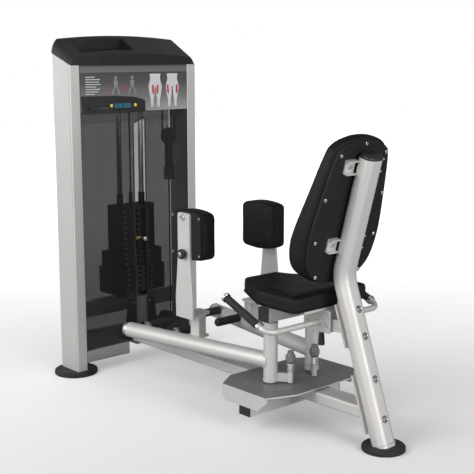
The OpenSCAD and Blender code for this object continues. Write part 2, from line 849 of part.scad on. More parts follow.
module frame_bolts() placed() color(CHROME) {
    lower_frame() for (z = leg_bolts_at)
        translate([0, 0, z]) {
            rod_x(-leg_d / 2 - 7, -leg_d / 2, 10.5);
            rod_x(-leg_d / 2 - 1, leg_d / 2, 5.5);
        }
    back_frame() for (z = [-46.5, -376.5], s = [-1, 1])
        translate([0, s * 72, z]) {
            rod_x(6, 11, 9);
            rod_x(0, 7, 4.8);
        }
}

module plug(w, h) {
    cube([w, 4, h]);
    translate([4.2, -12, 4.2]) cube([w - 8.4, 13, h - 8.4]);
}

module end_plugs() placed() color(BLACK) {
    both_sides() mirrored() {
        translate([pivot_x - cross_w / 2, cross_half, beam_bottom - cross_h]) plug(cross_w, cross_h);
        translate([pivot_x - 30, 165, bridge_z]) plug(60, 60);
    }
    // domed cap of the rear leg
    upper_frame() translate([0, 0, upper_l]) {
        linear_extrude(8) leg_section(0.5);
        translate([0, 0, 8]) linear_extrude(9) leg_section(6);
        translate([0, 0, -14]) linear_extrude(15) leg_section(leg_wall + touch);
    }
}

module seat_supports() placed() color(SILVER) {
    box_tube_y(pivot_x - 30, pivot_x + 30, -165, 165, bridge_z, bridge_z + 60, 4);
    difference() {
        box(rail_start, 1500, -rail_w / 2, rail_w / 2, rail_z, rail_z + rail_h);
        box(rail_start + 4, 1600, -rail_w / 2 + 3, rail_w / 2 - 3, rail_z + 3, rail_z + rail_h - 3);
        behind_leg_front();
        for (i = [0 : 6])
            translate([seat_pin_x - 10 * i, 0, rail_z - 1]) cylinder(5, r = seat_pin_r + 0.4);
    }
    leg_flange(110, 290);
}

module handle() {
    reach = handle_y - handle_bend;
    translate([handle_x, 0, handle_z]) {
        rod_y(-reach, -36, handle_r);
        // the bend turns from sideways to forward and up
        rotate([0, handle_rise, 0]) translate([-handle_bend, -reach, 0]) rotate([180, 0, 0])
            rotate_extrude(angle = 90) translate([handle_bend, 0]) circle(handle_r);
        rotate([0, handle_rise, 0]) translate([0, -handle_y, 0])
            rod_x(-256, -handle_bend, handle_r);
    }
}

module seat_carriage() placed() color(SILVER) {
    difference() {
        union() {
            box(sleeve_x, sleeve_x + sleeve_l, -38, 38, rail_z - 8, seat_bottom - pan_t);
            both_sides() handle();
        }
        box(0, 3000, -rail_w / 2 - touch, rail_w / 2 + touch, rail_z - touch, rail_z + rail_h + touch);
        translate([seat_pin_x, 0, 0]) cylinder(rail_z + 5, r = seat_pin_r + run_gap);
    }
    translate([0, 0, seat_bottom - pan_t]) linear_extrude(pan_t) polygon([
        [925, -50], [1115, -150], [1325, -165], [1325, 165], [1115, 150], [925, 50],
    ]);
}

module seat_cushion() placed() color(BLACK) translate([0, 0, seat_bottom])
    linear_extrude(seat_t) hull() both_sides() {
        translate([905, -50]) circle(30, $fn = 32);
        translate([1118, -180]) circle(36, $fn = 32);
        translate([1310, -190]) circle(35, $fn = 32);
    }

module grip_axis() translate([handle_x, -handle_y, handle_z]) rotate([0, handle_rise, 0]) children();

module hand_grip() grip_axis() difference() {
    union() {
        rod_x(-258, -62, 16);
        rod_x(-62, -50, 18.5);
        rod_x(-272, -258, 19);
    }
    rod_x(-256 - touch, 0, handle_r + run_gap);
}

module hand_grips() placed() color(RUBBER) both_sides() hand_grip();

module seat_pull_pin() placed() color(BLACK) translate([seat_pin_x, 0, 0]) {
    translate([0, 0, 400]) cylinder(rail_z + 7 - 400, r = seat_pin_r);
    translate([0, 0, 408]) cylinder(18, r = 10);
    translate([0, 0, 358]) rotate_extrude() polygon([
        [0, 0], [13, 0], [14, 4], [11, 52], [0, 52],
    ]);
}

module back_outline(inset) hull() both_sides() {
    translate([4, -68]) circle(70 - inset, $fn = 48);
    translate([-350, -40]) circle(150 - inset, $fn = 48);
    translate([-485, -85]) circle(65 - inset, $fn = 48);
}

// extrudes an outline given in slope height and y towards the front of the backrest
module back_slab(x0, x1) back_frame() translate([x0, 0, 0]) rotate([0, -90, 0])
    linear_extrude(x0 - x1) children();

module backrest_board() placed() color(BLACK) back_slab(-touch, -backboard_t) back_outline(0);

module backrest_cushion() placed() color(BLACK)
    back_slab(-backboard_t, -backboard_t - back_t) back_outline(-6);

uprights();
tower_crossmembers();
top_cap();
front_shroud();
rear_shroud();
instruction_placard();
console_housing();
console_screen();
left_button();
right_button();
guide_rods();
stack_bumpers();
resting_plates();
lifted_plates();
top_plate();
selector_pin();
pulley_brackets();
centre_top_pulley();
outer_top_pulley();
floating_block();
floating_pulley();
bottom_pulley();
turning_pulley();
pulley_cover();
stack_cable();
float_cable_run();
float_cable_tail();
float_cable_loop();
pull_cable();
fixed_cables();
base_frame();
platform();
cable_equaliser();
rear_idler();
arm_shafts();
left_cam();
right_cam();
left_arm();
right_arm();
left_foot_pegs();
right_foot_pegs();
left_pop_pin();
right_pop_pin();
left_pad_bracket();
right_pad_bracket();
left_thigh_pad();
right_thigh_pad();
left_pad_knob();
right_pad_knob();
rear_leg();
rubber_feet();
end_plugs();
seat_supports();
seat_carriage();
seat_cushion();
hand_grips();
seat_pull_pin();
backrest_board();
backrest_cushion();
frame_bolts();
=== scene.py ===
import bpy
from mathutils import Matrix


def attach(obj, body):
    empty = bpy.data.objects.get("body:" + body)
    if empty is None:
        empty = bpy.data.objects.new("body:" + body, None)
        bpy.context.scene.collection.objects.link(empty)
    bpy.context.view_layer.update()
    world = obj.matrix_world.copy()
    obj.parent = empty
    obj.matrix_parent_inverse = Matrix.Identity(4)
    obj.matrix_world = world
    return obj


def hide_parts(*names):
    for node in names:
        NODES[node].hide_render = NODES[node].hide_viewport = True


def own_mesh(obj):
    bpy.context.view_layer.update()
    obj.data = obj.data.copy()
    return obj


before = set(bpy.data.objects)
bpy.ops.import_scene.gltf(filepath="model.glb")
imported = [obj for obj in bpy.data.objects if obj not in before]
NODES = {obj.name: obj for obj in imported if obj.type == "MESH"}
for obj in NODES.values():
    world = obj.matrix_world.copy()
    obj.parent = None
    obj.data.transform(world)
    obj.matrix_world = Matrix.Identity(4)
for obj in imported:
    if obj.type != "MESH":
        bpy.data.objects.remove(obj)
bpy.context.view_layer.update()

import math

import bmesh
import bpy
import numpy as np
from mathutils import Matrix, Vector

TOWER_X = -0.7585          # the tower's front plane in the shared frame
COLLECTION = bpy.context.scene.collection


def at(x, y, z):
    """A point given from the tower's front plane, in metres."""
    return Vector((x + TOWER_X, y, z))


# ---------------------------------------------------------------- materials

def new_material(name):
    m = bpy.data.materials.new(name)
    m.use_nodes = True
    nt = m.node_tree
    nt.nodes.clear()
    out = nt.nodes.new("ShaderNodeOutputMaterial")
    bsdf = nt.nodes.new("ShaderNodeBsdfPrincipled")
    nt.links.new(bsdf.outputs[0], out.inputs[0])
    return m, nt, bsdf, out


def add(nt, kind, inputs=None, **props):
    n = nt.nodes.new(kind)
    for k, v in props.items():
        setattr(n, k, v)
    for k, v in (inputs or {}).items():
        if hasattr(v, "is_output"):
            nt.links.new(v, n.inputs[k])
        else:
            n.inputs[k].default_value = v
    return n


def grey(v, warm=0.0):
    return (v * (1 + warm), v, v * (1 - warm), 1)


def coords(nt, scale=(1, 1, 1)):
    c = add(nt, "ShaderNodeTexCoord")
    return add(nt, "ShaderNodeMapping", {"Vector": c.outputs["Object"], "Scale": scale}).outputs[0]


def noise(nt, vec, scale, detail=4, rough=0.55):
    return add(nt, "ShaderNodeTexNoise", {"Vector": vec, "Scale": scale, "Detail": detail,
                                          "Roughness": rough}).outputs["Fac"]


def ramp(nt, fac, stops):
    r = add(nt, "ShaderNodeValToRGB", {"Fac": fac})
    e = r.color_ramp.elements
    while len(e) < len(stops):
        e.new(0.5)
    for el, (p, c) in zip(e, stops):
        el.position, el.color = p, c
    return r.outputs[0]


def spread(nt, fac, lo, hi):
    return add(nt, "ShaderNodeMapRange", {"Value": fac, "From Min": 0.25, "From Max": 0.75,
                                          "To Min": lo, "To Max": hi}).outputs[0]


def bump(nt, bsdf, height, strength, distance):
    b = add(nt, "ShaderNodeBump", {"Height": height, "Strength": strength, "Distance": distance})
    nt.links.new(b.outputs[0], bsdf.inputs["Normal"])
    return b


def mix(nt, fac, a, b, mode="MIX"):
    n = add(nt, "ShaderNodeMix", data_type="RGBA", blend_type=mode)
    for sock, v in ((n.inputs[0], fac), (n.inputs[6], a), (n.inputs[7], b)):
        if hasattr(v, "is_output"):
            nt.links.new(v, sock)
        else:
            sock.default_value = v
    return n.outputs[2]


def worn_edges(nt, lo=0.505, hi=0.56):
    g = add(nt, "ShaderNodeNewGeometry")
    return add(nt, "ShaderNodeMapRange", {"Value": g.outputs["Pointiness"], "From Min": lo,
                                          "From Max": hi}).outputs[0]


def paint(name, base, warm, metallic, rough, flake=0.06, coat=0.25, wear=0.25, painted_top_shade=1.0):
    """Sprayed metal paint: fine flake, faint orange peel, slightly brighter edges. A top shade below 1
    darkens the faces that look up as painted shade, and lowers their shine."""
    m, nt, b, _ = new_material(name)
    v = coords(nt)
    cloud = noise(nt, v, 3.2, 3)
    grain = noise(nt, v, 1400, 2)
    colour = ramp(nt, cloud, [(0.3, grey(base * 0.94, warm)), (0.7, grey(base * 1.05, warm))])
    colour = mix(nt, spread(nt, grain, 0, flake * 2), colour, grey(base * 1.5, warm))
    colour = mix(nt, add(nt, "ShaderNodeMath", {0: worn_edges(nt), 1: wear},
                         operation="MULTIPLY").outputs[0], colour, grey(min(1, base * 1.35), warm))
    if painted_top_shade < 1:
        # painted shade: faces that look up are darkened by the top shade factor and get a lower specular level
        up = add(nt, "ShaderNodeSeparateXYZ", {0: add(nt, "ShaderNodeNewGeometry").outputs["Normal"]}).outputs[2]
        flat = add(nt, "ShaderNodeMapRange", {"Value": up, "From Min": 0.8, "From Max": 0.98}).outputs[0]
        colour = mix(nt, flat, colour, grey(painted_top_shade), "MULTIPLY")
        nt.links.new(spread(nt, flat, 0.5, 0.06), b.inputs["Specular IOR Level"])
    nt.links.new(colour, b.inputs["Base Color"])
    b.inputs["Metallic"].default_value = metallic
    nt.links.new(spread(nt, noise(nt, v, 18, 4), rough - 0.04, rough + 0.05), b.inputs["Roughness"])
    b.inputs["Coat Weight"].default_value = coat
    b.inputs["Coat Roughness"].default_value = 0.18
    bump(nt, b, noise(nt, v, 420, 2), 0.05, 0.0006)
    return m


def plastic(name, base, rough, grain=900, strength=0.12, coat=0.0, tint=None, specular=0.5):
    """Moulded plastic with a fine texture."""
    m, nt, b, _ = new_material(name)
    v = coords(nt)
    c = tint or (base, base, base * 1.04, 1)
    light = tuple(min(1, x * 1.25) for x in c[:3]) + (1,)
    colour = ramp(nt, noise(nt, v, 7, 4), [(0.3, c), (0.75, light)])
    colour = mix(nt, add(nt, "ShaderNodeMath", {0: worn_edges(nt), 1: 0.25},
                         operation="MULTIPLY").outputs[0], colour,
                 tuple(min(1, x * 2.2 + 0.01) for x in c[:3]) + (1,))
    nt.links.new(colour, b.inputs["Base Color"])
    nt.links.new(spread(nt, noise(nt, v, 25, 3), rough - 0.05, rough + 0.06), b.inputs["Roughness"])
    b.inputs["Specular IOR Level"].default_value = specular
    b.inputs["Coat Weight"].default_value = coat
    bump(nt, b, noise(nt, v, grain, 2), strength, 0.0008)
    return m


def chrome(name, base=0.72, rough=0.12):
    m, nt, b, _ = new_material(name)
    v = coords(nt)
    nt.links.new(ramp(nt, noise(nt, v, 30, 3), [(0.3, grey(base * 0.93)), (0.7, grey(base))]),
                 b.inputs["Base Color"])
    b.inputs["Metallic"].default_value = 1
    nt.links.new(spread(nt, noise(nt, v, 60, 5), rough * 0.6, rough * 1.5), b.inputs["Roughness"])
    bump(nt, b, noise(nt, v, 300, 2), 0.03, 0.0004)
    return m


def brushed(name, base, rough):
    m, nt, b, _ = new_material(name)
    lines = noise(nt, coords(nt, (60, 60, 900)), 1.0, 3)
    nt.links.new(ramp(nt, lines, [(0.3, grey(base * 0.8)), (0.7, grey(base * 1.1))]),
                 b.inputs["Base Color"])
    b.inputs["Metallic"].default_value = 0.9
    nt.links.new(spread(nt, lines, rough - 0.08, rough + 0.1), b.inputs["Roughness"])
    bump(nt, b, lines, 0.1, 0.0004)
    return m


def leather(name, base):
    """Soft black upholstery: pebbled grain, broad creases, an uneven sheen and painted shade on the faces that look up.
    """
    m, nt, b, _ = new_material(name)
    v = coords(nt)
    warped = add(nt, "ShaderNodeVectorMath",
                 {0: v, 1: add(nt, "ShaderNodeTexNoise", {"Vector": v, "Scale": 60.0}).outputs["Color"]},
                 operation="ADD").outputs[0]
    cells = add(nt, "ShaderNodeTexVoronoi", {"Vector": v, "Scale": 520.0, "Randomness": 1.0},
                feature="DISTANCE_TO_EDGE").outputs["Distance"]
    fine = add(nt, "ShaderNodeTexVoronoi", {"Vector": v, "Scale": 1100.0}).outputs["Distance"]
    creases = noise(nt, warped, 14, 6, 0.6)
    colour = ramp(nt, noise(nt, v, 5, 4), [(0.3, (base, base, base * 1.05, 1)),
                                           (0.75, (base * 1.5, base * 1.5, base * 1.6, 1))])
    # painted shade: faces that look up are darkened to a quarter of their colour
    up = add(nt, "ShaderNodeSeparateXYZ", {0: add(nt, "ShaderNodeNewGeometry").outputs["Normal"]}).outputs[2]
    flat = add(nt, "ShaderNodeMapRange", {"Value": up, "From Min": 0.5, "From Max": 0.95}).outputs[0]
    colour = mix(nt, flat, colour, grey(0.25), "MULTIPLY")
    nt.links.new(colour, b.inputs["Base Color"])
    nt.links.new(spread(nt, noise(nt, v, 22, 4), 0.46, 0.6), b.inputs["Roughness"])
    b.inputs["Specular IOR Level"].default_value = 0.13
    pebble = add(nt, "ShaderNodeMapRange", {"Value": cells, "From Max": 0.12}).outputs[0]
    height = add(nt, "ShaderNodeMath", {0: pebble, 1: fine}, operation="ADD").outputs[0]
    height = add(nt, "ShaderNodeMath", {0: creases, 1: 1.5, 2: height},
                 operation="MULTIPLY_ADD").outputs[0]
    bump(nt, b, height, 0.22, 0.0009)
    return m


def rubber(name, base, rough, grain, strength):
    m, nt, b, _ = new_material(name)
    v = coords(nt)
    nt.links.new(ramp(nt, noise(nt, v, 9, 5), [(0.3, grey(base)), (0.75, grey(base * 1.9))]),
                 b.inputs["Base Color"])
    nt.links.new(spread(nt, noise(nt, v, 30, 3), rough - 0.05, rough + 0.08), b.inputs["Roughness"])
    cells = add(nt, "ShaderNodeTexVoronoi", {"Vector": v, "Scale": float(grain)}).outputs["Distance"]
    bump(nt, b, cells, strength, 0.0008)
    return m


def tinted(name, shade, clear, through, rough):
    """Dark see-through cover: part clear, part glossy surface."""
    m, nt, b, out = new_material(name)
    v = coords(nt)
    tone = ramp(nt, noise(nt, v, 2.5, 3), [(0.3, grey(shade)), (0.7, grey(shade * 1.3))])
    nt.links.new(tone, b.inputs["Base Color"])
    nt.links.new(spread(nt, noise(nt, v, 12, 3), rough, rough + 0.05), b.inputs["Roughness"])
    b.inputs["Specular IOR Level"].default_value = 0.3
    see = add(nt, "ShaderNodeBsdfTransparent", {"Color": grey(through)})
    facing = add(nt, "ShaderNodeLayerWeight", {"Blend": 0.3}).outputs["Facing"]
    share = add(nt, "ShaderNodeMapRange", {"Value": facing, "To Min": 1 - clear,
                                           "To Max": 1.08 - clear}).outputs[0]
    both = add(nt, "ShaderNodeMixShader", {0: share, 1: see.outputs[0], 2: b.outputs[0]})
    nt.links.new(both.outputs[0], out.inputs[0])
    return m


def glow(name, colour, strength):
    m, nt, b, _ = new_material(name)
    v = coords(nt)
    tone = mix(nt, spread(nt, noise(nt, v, 40, 2), 0, 0.3), colour,
               tuple(c * 0.6 for c in colour[:3]) + (1,))
    nt.links.new(tone, b.inputs["Base Color"])
    nt.links.new(tone, b.inputs["Emission Color"])
    b.inputs["Emission Strength"].default_value = strength
    b.inputs["Roughness"].default_value = 0.2
    return m


def placard_material():
    """Printed sheet: a light bar along the top over a field that fades from dark to light grey."""
    m, nt, b, _ = new_material("placard_print")
    g = add(nt, "ShaderNodeNewGeometry")
    z = add(nt, "ShaderNodeSeparateXYZ", {0: g.outputs["Position"]}).outputs[2]
    t = add(nt, "ShaderNodeMapRange", {"Value": z, "From Min": 1.276, "From Max": 1.500}).outputs[0]
    field = ramp(nt, t, [(0.0, grey(0.40)), (0.3, grey(0.20)), (0.62, grey(0.075)), (0.842, grey(0.05)),
                         (0.846, grey(0.17)), (0.97, grey(0.12)), (0.985, grey(0.03))])
    field = mix(nt, spread(nt, noise(nt, coords(nt), 900, 2), 0, 0.12), field, grey(0.3))
    nt.links.new(field, b.inputs["Base Color"])
    b.inputs["Roughness"].default_value = 0.35
    return m


M = {
    "silver": paint("silver_paint", 0.55, 0.022, 0.42, 0.52, coat=0.0),
    "dark": paint("dark_paint", 0.11, 0.01, 0.35, 0.42, flake=0.03, wear=0.4),
    # plate paint: painted shade on its faces that look up
    "plate": paint("plate_paint", 0.58, 0.018, 0.45, 0.42, flake=0.05, coat=0.05, painted_top_shade=0.30),
    "plastic": plastic("black_plastic", 0.010, 0.4),
    "cap": plastic("cap_plastic", 0.007, 0.3, grain=1200, strength=0.05),
    "board": plastic("board_plastic", 0.012, 0.6, grain=500, strength=0.25, specular=0.15),
    "knob": plastic("knob_plastic", 0.012, 0.42, grain=700, strength=0.15),
    "pin_knob": plastic("pin_knob_metal", 0.13, 0.34, grain=700, strength=0.1),
    "pulley": plastic("pulley_plastic", 0.14, 0.5),
    "chrome": chrome("chrome"),
    "steel": brushed("bare_steel", 0.42, 0.38),
    "iron": rubber("cast_iron", 0.012, 0.55, 700, 0.35),
    "leather": leather("black_leather", 0.0105),
    "rubber": rubber("rubber", 0.009, 0.6, 500, 0.25),
    "grip": rubber("grip_foam", 0.010, 0.65, 900, 0.5),
    "rope": rubber("rope_sheath", 0.015, 0.4, 300, 0.2),
    "cord": plastic("cord", 0.3, 0.6, tint=(0.42, 0.30, 0.06, 1)),
    "tint": tinted("tinted_cover", 0.085, 0.86, 0.575, 0.2),
    "placard": placard_material(),
    "lcd": glow("lcd_panel", (0.012, 0.06, 0.09, 1), 0.2),
    "lcd_bright": glow("lcd_digits", (0.02, 0.13, 0.20, 1), 0.35),
    "yellow": plastic("yellow_plastic", 0.5, 0.3, tint=(0.75, 0.50, 0.06, 1), coat=0.4),
    "print_light": plastic("print_light", 0.55, 0.4),
    "print_mid": plastic("print_mid", 0.2, 0.4),
    "print_dark": plastic("print_dark", 0.02, 0.4),
    "print_red": plastic("print_red", 0.3, 0.4, tint=(0.45, 0.03, 0.02, 1)),
}

NODE_MATERIAL = {
    "silver": "uprights tower_crossmembers base_frame left_arm right_arm left_pad_bracket "
              "right_pad_bracket rear_leg seat_supports seat_carriage",
    "dark": "pulley_cover",
    "plate": "platform left_cam right_cam",
    "plastic": "console_housing end_plugs",
    "cap": "top_cap",
    "knob": "left_pad_knob right_pad_knob seat_pull_pin",
    "pin_knob": "left_pop_pin right_pop_pin",
    "pulley": "floating_block centre_top_pulley outer_top_pulley floating_pulley bottom_pulley turning_pulley "
              "rear_idler",
    "tint": "front_shroud rear_shroud",
    "placard": "instruction_placard",
    "lcd": "console_screen",
    "yellow": "left_button right_button",
    "chrome": "guide_rods selector_pin frame_bolts",
    "rubber": "stack_bumpers rubber_feet left_foot_pegs right_foot_pegs",
    "grip": "hand_grips",
    "rope": "stack_cable float_cable_run float_cable_tail float_cable_loop pull_cable fixed_cables",
    "iron": "resting_plates lifted_plates top_plate",
    "steel": "pulley_brackets cable_equaliser arm_shafts",
    "leather": "left_thigh_pad right_thigh_pad seat_cushion backrest_cushion",
}


def set_material(o, key):
    o.data.materials.clear()
    o.data.materials.append(M[key])


def bevel(o, width, segments=3, angle=35):
    b = o.modifiers.new("bevel", "BEVEL")
    b.width, b.segments, b.limit_method, b.angle_limit = width, segments, "ANGLE", math.radians(angle)
    b.harden_normals = False
    return o


def smooth(o, angle=35):
    """Smooth shading that stays crisp across sharp edges."""
    mesh = o.data
    mesh.polygons.foreach_set("use_smooth", [True] * len(mesh.polygons))
    bm = bmesh.new()
    bm.from_mesh(mesh)
    limit = math.radians(angle)
    for e in bm.edges:
        if len(e.link_faces) == 2:
            e.smooth = e.calc_face_angle(0) < limit
    bm.to_mesh(mesh)
    bm.free()
    return o


for key, names in NODE_MATERIAL.items():
    for name in names.split():
        set_material(NODES[name], key)


# ---------------------------------------------------------------- building helpers

def from_bmesh(name, bm, key, body, sharp=35, width=0.0, segs=3):
    bmesh.ops.recalc_face_normals(bm, faces=bm.faces)
    mesh = bpy.data.meshes.new(name)
    bm.to_mesh(mesh)
    bm.free()
    o = bpy.data.objects.new(name, mesh)
    COLLECTION.objects.link(o)
    mesh.materials.append(M[key])
    smooth(o, sharp)
    if width:
        bevel(o, width, segs)
    if body:
        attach(o, body)
    return o


def turned(bm, profile, centre, axis, steps=48, close=True):
    """Turns (radius, height) points round an axis through centre. Ends at radius 0 close the form."""
    axis = Vector(axis).normalized()
    side = axis.orthogonal().normalized()
    other = axis.cross(side)
    rings = []
    for r, h in profile:
        base = Vector(centre) + axis * h
        if r < 1e-7:
            rings.append([bm.verts.new(base)])
        else:
            rings.append([bm.verts.new(base + side * (r * math.cos(a)) + other * (r * math.sin(a)))
                          for a in (2 * math.pi * i / steps for i in range(steps))])
    pairs = list(zip(rings, rings[1:]))
    if close:
        pairs.append((rings[-1], rings[0]))
    for a, b in pairs:
        if len(a) == 1 and len(b) == 1:
            continue
        for i in range(steps):
            j = (i + 1) % steps
            quad = [a[i % len(a)], a[j % len(a)], b[j % len(b)], b[i % len(b)]]
            face = list(dict.fromkeys(quad))
            if len(face) > 2:
                bm.faces.new(face)


def turned_piece(name, profile, centre, axis, key, body, **kw):
    bm = bmesh.new()
    turned(bm, profile, centre, axis, close=profile[0][0] > 1e-7)
    return from_bmesh(name, bm, key, body, **kw)


def sweep(bm, points, radius, sides=12, closed=False):
    """A round tube along points, in a frame carried smoothly along them."""
    pts = [Vector(p) for p in points]
    n = len(pts)
    rings, up = [], None
    for i, p in enumerate(pts):
        a = pts[i - 1] if i or closed else p
        b = pts[(i + 1) % n] if i < n - 1 or closed else p
        t = (b - a).normalized()
        up = t.orthogonal().normalized() if up is None else (up - t * up.dot(t)).normalized()
        w = t.cross(up)
        r = radius(i / max(1, n - 1)) if callable(radius) else radius
        rings.append([bm.verts.new(p + up * (r * math.cos(k)) + w * (r * math.sin(k)))
                      for k in (2 * math.pi * j / sides for j in range(sides))])
    pairs = list(zip(rings, rings[1:])) + ([(rings[-1], rings[0])] if closed else [])
    for a, b in pairs:
        for j in range(sides):
            k = (j + 1) % sides
            bm.faces.new([a[j], a[k], b[k], b[j]])
    if not closed:
        bm.faces.new(list(reversed(rings[0])))
        bm.faces.new(rings[-1])


def prism(bm, outline, place, depth):
    """Closed slab from 2D points; place turns (u, v, w) into a 3D point and w runs 0 to depth."""
    low = [bm.verts.new(place(u, v, 0)) for u, v in outline]
    high = [bm.verts.new(place(u, v, depth)) for u, v in outline]
    bm.faces.new(low)
    bm.faces.new(list(reversed(high)))
    for i in range(len(low)):
        j = (i + 1) % len(low)
        bm.faces.new([low[i], low[j], high[j], high[i]])


def hex_bolt(bm, centre, axis, r, h, socket=True):
    """Cap screw head with a hexagon socket, or a domed head."""
    if socket:
        turned(bm, [(0, h * 0.35), (r * 0.5, h * 0.35), (r * 0.5, h * 0.92), (r * 0.62, h), (r * 0.9, h),
                    (r, h * 0.85), (r, 0), (0, 0)], centre, axis, steps=24, close=False)
    else:
        turned(bm, [(0, h), (r * 0.45, h * 0.93), (r * 0.8, h * 0.65), (r, h * 0.2), (r, 0), (0, 0)],
               centre, axis, steps=24, close=False)


def torus_points(centre, axis, r, count=40, start=0.0, sweep_angle=2 * math.pi):
    axis = Vector(axis).normalized()
    side = axis.orthogonal().normalized()
    other = axis.cross(side)
    return [Vector(centre) + side * (r * math.cos(a)) + other * (r * math.sin(a))
            for a in (start + sweep_angle * i / count for i in range(count))]


# ---------------------------------------------------------------- cushions

def rounded_outline(corners, steps=10):
    """Outline from (u, v, radius) corners, each rounded by a true arc."""
    pts = []
    n = len(corners)
    for i, (x, y, r) in enumerate(corners):
        p = Vector((x, y))
        a = (Vector(corners[i - 1][:2]) - p).normalized()
        b = (Vector(corners[(i + 1) % n][:2]) - p).normalized()
        half = math.acos(max(-1, min(1, a.dot(b)))) / 2
        reach = r / math.tan(half)
        start, end = p + a * reach, p + b * reach
        centre = p + (a + b).normalized() * (r / math.sin(half))
        a0 = math.atan2(*(start - centre).yx)
        a1 = math.atan2(*(end - centre).yx)
        turn = (a1 - a0 + math.pi) % (2 * math.pi) - math.pi
        pts += [centre + Vector((math.cos(a0 + turn * k / steps), math.sin(a0 + turn * k / steps))) * r
                for k in range(steps + 1)]
    return pts


def offset_outline(pts, d):
    """Moves each point of a counter-clockwise or clockwise outline inwards by d."""
    n = len(pts)
    area = sum(pts[i].x * pts[(i + 1) % n].y - pts[(i + 1) % n].x * pts[i].y for i in range(n))
    sign = 1 if area > 0 else -1
    out = []
    for i in range(n):
        t = (pts[(i + 1) % n] - pts[i - 1]).normalized()
        out.append(pts[i] + Vector((-t.y, t.x)) * (d * sign))
    return out


def even_outline(pts, gap):
    """The same outline with points spaced evenly by about gap."""
    n = len(pts)
    total = sum((pts[(i + 1) % n] - pts[i]).length for i in range(n))
    count = max(12, round(total / gap))
    out, i, walked = [], 0, 0.0
    for k in range(count):
        target = total * k / count
        while walked + (pts[(i + 1) % n] - pts[i]).length < target:
            walked += (pts[(i + 1) % n] - pts[i]).length
            i += 1
        seg = pts[(i + 1) % n] - pts[i]
        out.append(pts[i] + seg * ((target - walked) / max(seg.length, 1e-9)))
    return out


def cushion_start(name, outline, place, depth, edge, back_edge=0.0):
    """Closed cushion blank: the outline rounded over at the front by the radius edge, and drawn in
    by back_edge where it meets its board."""
    bm = bmesh.new()
    rings = [(back_edge, 0.0), (0.0, back_edge * 2), (0.0, depth - edge)]
    if not back_edge:
        rings.pop(0)
    rings += [(edge * (1 - math.cos(a)), depth - edge + edge * math.sin(a))
              for a in (math.pi / 2 * k / 5 for k in range(1, 6))]
    layers = [[bm.verts.new(place(p.x, p.y, w)) for p in offset_outline(outline, d)] for d, w in rings]
    bm.faces.new(layers[0])
    bm.faces.new(list(reversed(layers[-1])))
    for a, b in zip(layers, layers[1:]):
        for i in range(len(a)):
            j = (i + 1) % len(a)
            bm.faces.new([a[i], a[j], b[j], b[i]])
    bmesh.ops.recalc_face_normals(bm, faces=bm.faces)
    mesh = bpy.data.meshes.new(name)
    bm.to_mesh(mesh)
    bm.free()
    o = bpy.data.objects.new(name, mesh)
    COLLECTION.objects.link(o)
    return o


def apply_modifiers(o):
    deps = bpy.context.evaluated_depsgraph_get()
    mesh = bpy.data.meshes.new_from_object(o.evaluated_get(deps))
    o.modifiers.clear()
    o.data = mesh


SINK = 0.0                 # share of the inward travel that is kept


def inflate(o, voxel, limit, flat_point, flat_normal):
    """Remeshes the blank, swells it with cloth pressure, caps each point's travel and keeps the
    back face flat on its board."""
    r = o.modifiers.new("remesh", "REMESH")
    r.mode, r.voxel_size = "VOXEL", voxel
    apply_modifiers(o)
    rest = np.array([v.co for v in o.data.vertices], float)
    rest_normals = np.array([v.normal for v in o.data.vertices], float)
    normal = np.array(flat_normal, float)
    gap = (rest - np.array(flat_point, float)) @ normal
    group = o.vertex_groups.new(name="held")
    group.add([i for i, g in enumerate(gap) if g < voxel * 1.2], 1.0, "REPLACE")
    c = o.modifiers.new("cloth", "CLOTH")
    s = c.settings
    s.quality, s.mass = 5, 0.3
    s.tension_stiffness = s.compression_stiffness = 15
    s.bending_stiffness = 2.0
    s.use_pressure, s.uniform_pressure_force = True, 4.0
    s.vertex_group_mass = "held"
    s.effector_weights.gravity = 0
    scene = bpy.context.scene
    for f in range(1, 21):
        scene.frame_set(f)
    apply_modifiers(o)
    scene.frame_set(1)
    moved = np.array([v.co for v in o.data.vertices], float)
    if len(moved) != len(rest):
        moved = rest
    step = moved - rest
    # the filling is firm, so a wall may sink in by only a fraction of what free cloth would
    inward = np.minimum((step * rest_normals).sum(axis=1), 0)
    step -= rest_normals * (inward * (1 - SINK))[:, None]
    length = np.linalg.norm(step, axis=1)
    shrink = np.where(length > limit, limit / np.maximum(length, 1e-9), 1.0)
    final = rest + step * shrink[:, None]
    over = (final - np.array(flat_point, float)) @ normal
    final -= normal * np.minimum(over, 0)[:, None]
    o.data.vertices.foreach_set("co", final.astype(np.float32).ravel())
    o.data.update()
    sm = o.modifiers.new("smooth", "SMOOTH")
    sm.factor, sm.iterations = 0.5, 3
    sub = o.modifiers.new("sub", "SUBSURF")
    sub.levels = sub.render_levels = 1
    apply_modifiers(o)
    o.data.polygons.foreach_set("use_smooth", [True] * len(o.data.polygons))


def groove(o, path, depth, width):
    """Presses a soft channel into the mesh along a list of 3D points."""
    pts = np.array([list(p) for p in path], float)
    co = np.array([v.co for v in o.data.vertices], float)
    no = np.array([v.normal for v in o.data.vertices], float)
    best = np.full(len(co), 9.0)
    for a, b in zip(pts, pts[1:]):
        ab = b - a
        t = np.clip(((co - a) @ ab) / max(ab @ ab, 1e-12), 0, 1)
        best = np.minimum(best, np.linalg.norm(co - (a + t[:, None] * ab), axis=1))
    co -= no * (depth * np.exp(-(best / width) ** 2))[:, None]
    o.data.vertices.foreach_set("co", co.astype(np.float32).ravel())
    o.data.update()


def surface_path(o, points, direction, lift=0.0):
    """Drops points onto the mesh along direction."""
    deps = bpy.context.evaluated_depsgraph_get()
    out = []
    d = Vector(direction).normalized()
    for p in points:
        hit, place, normal, _ = o.ray_cast(Vector(p) - d * 0.2, d, depsgraph=deps)
        if hit:
            out.append(place + normal * lift)
    return out


def finish_cushion(o, key, body, node):
    o.data.materials.clear()
    o.data.materials.append(M[key])
    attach(o, body)
    if node:
        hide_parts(node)
    return o


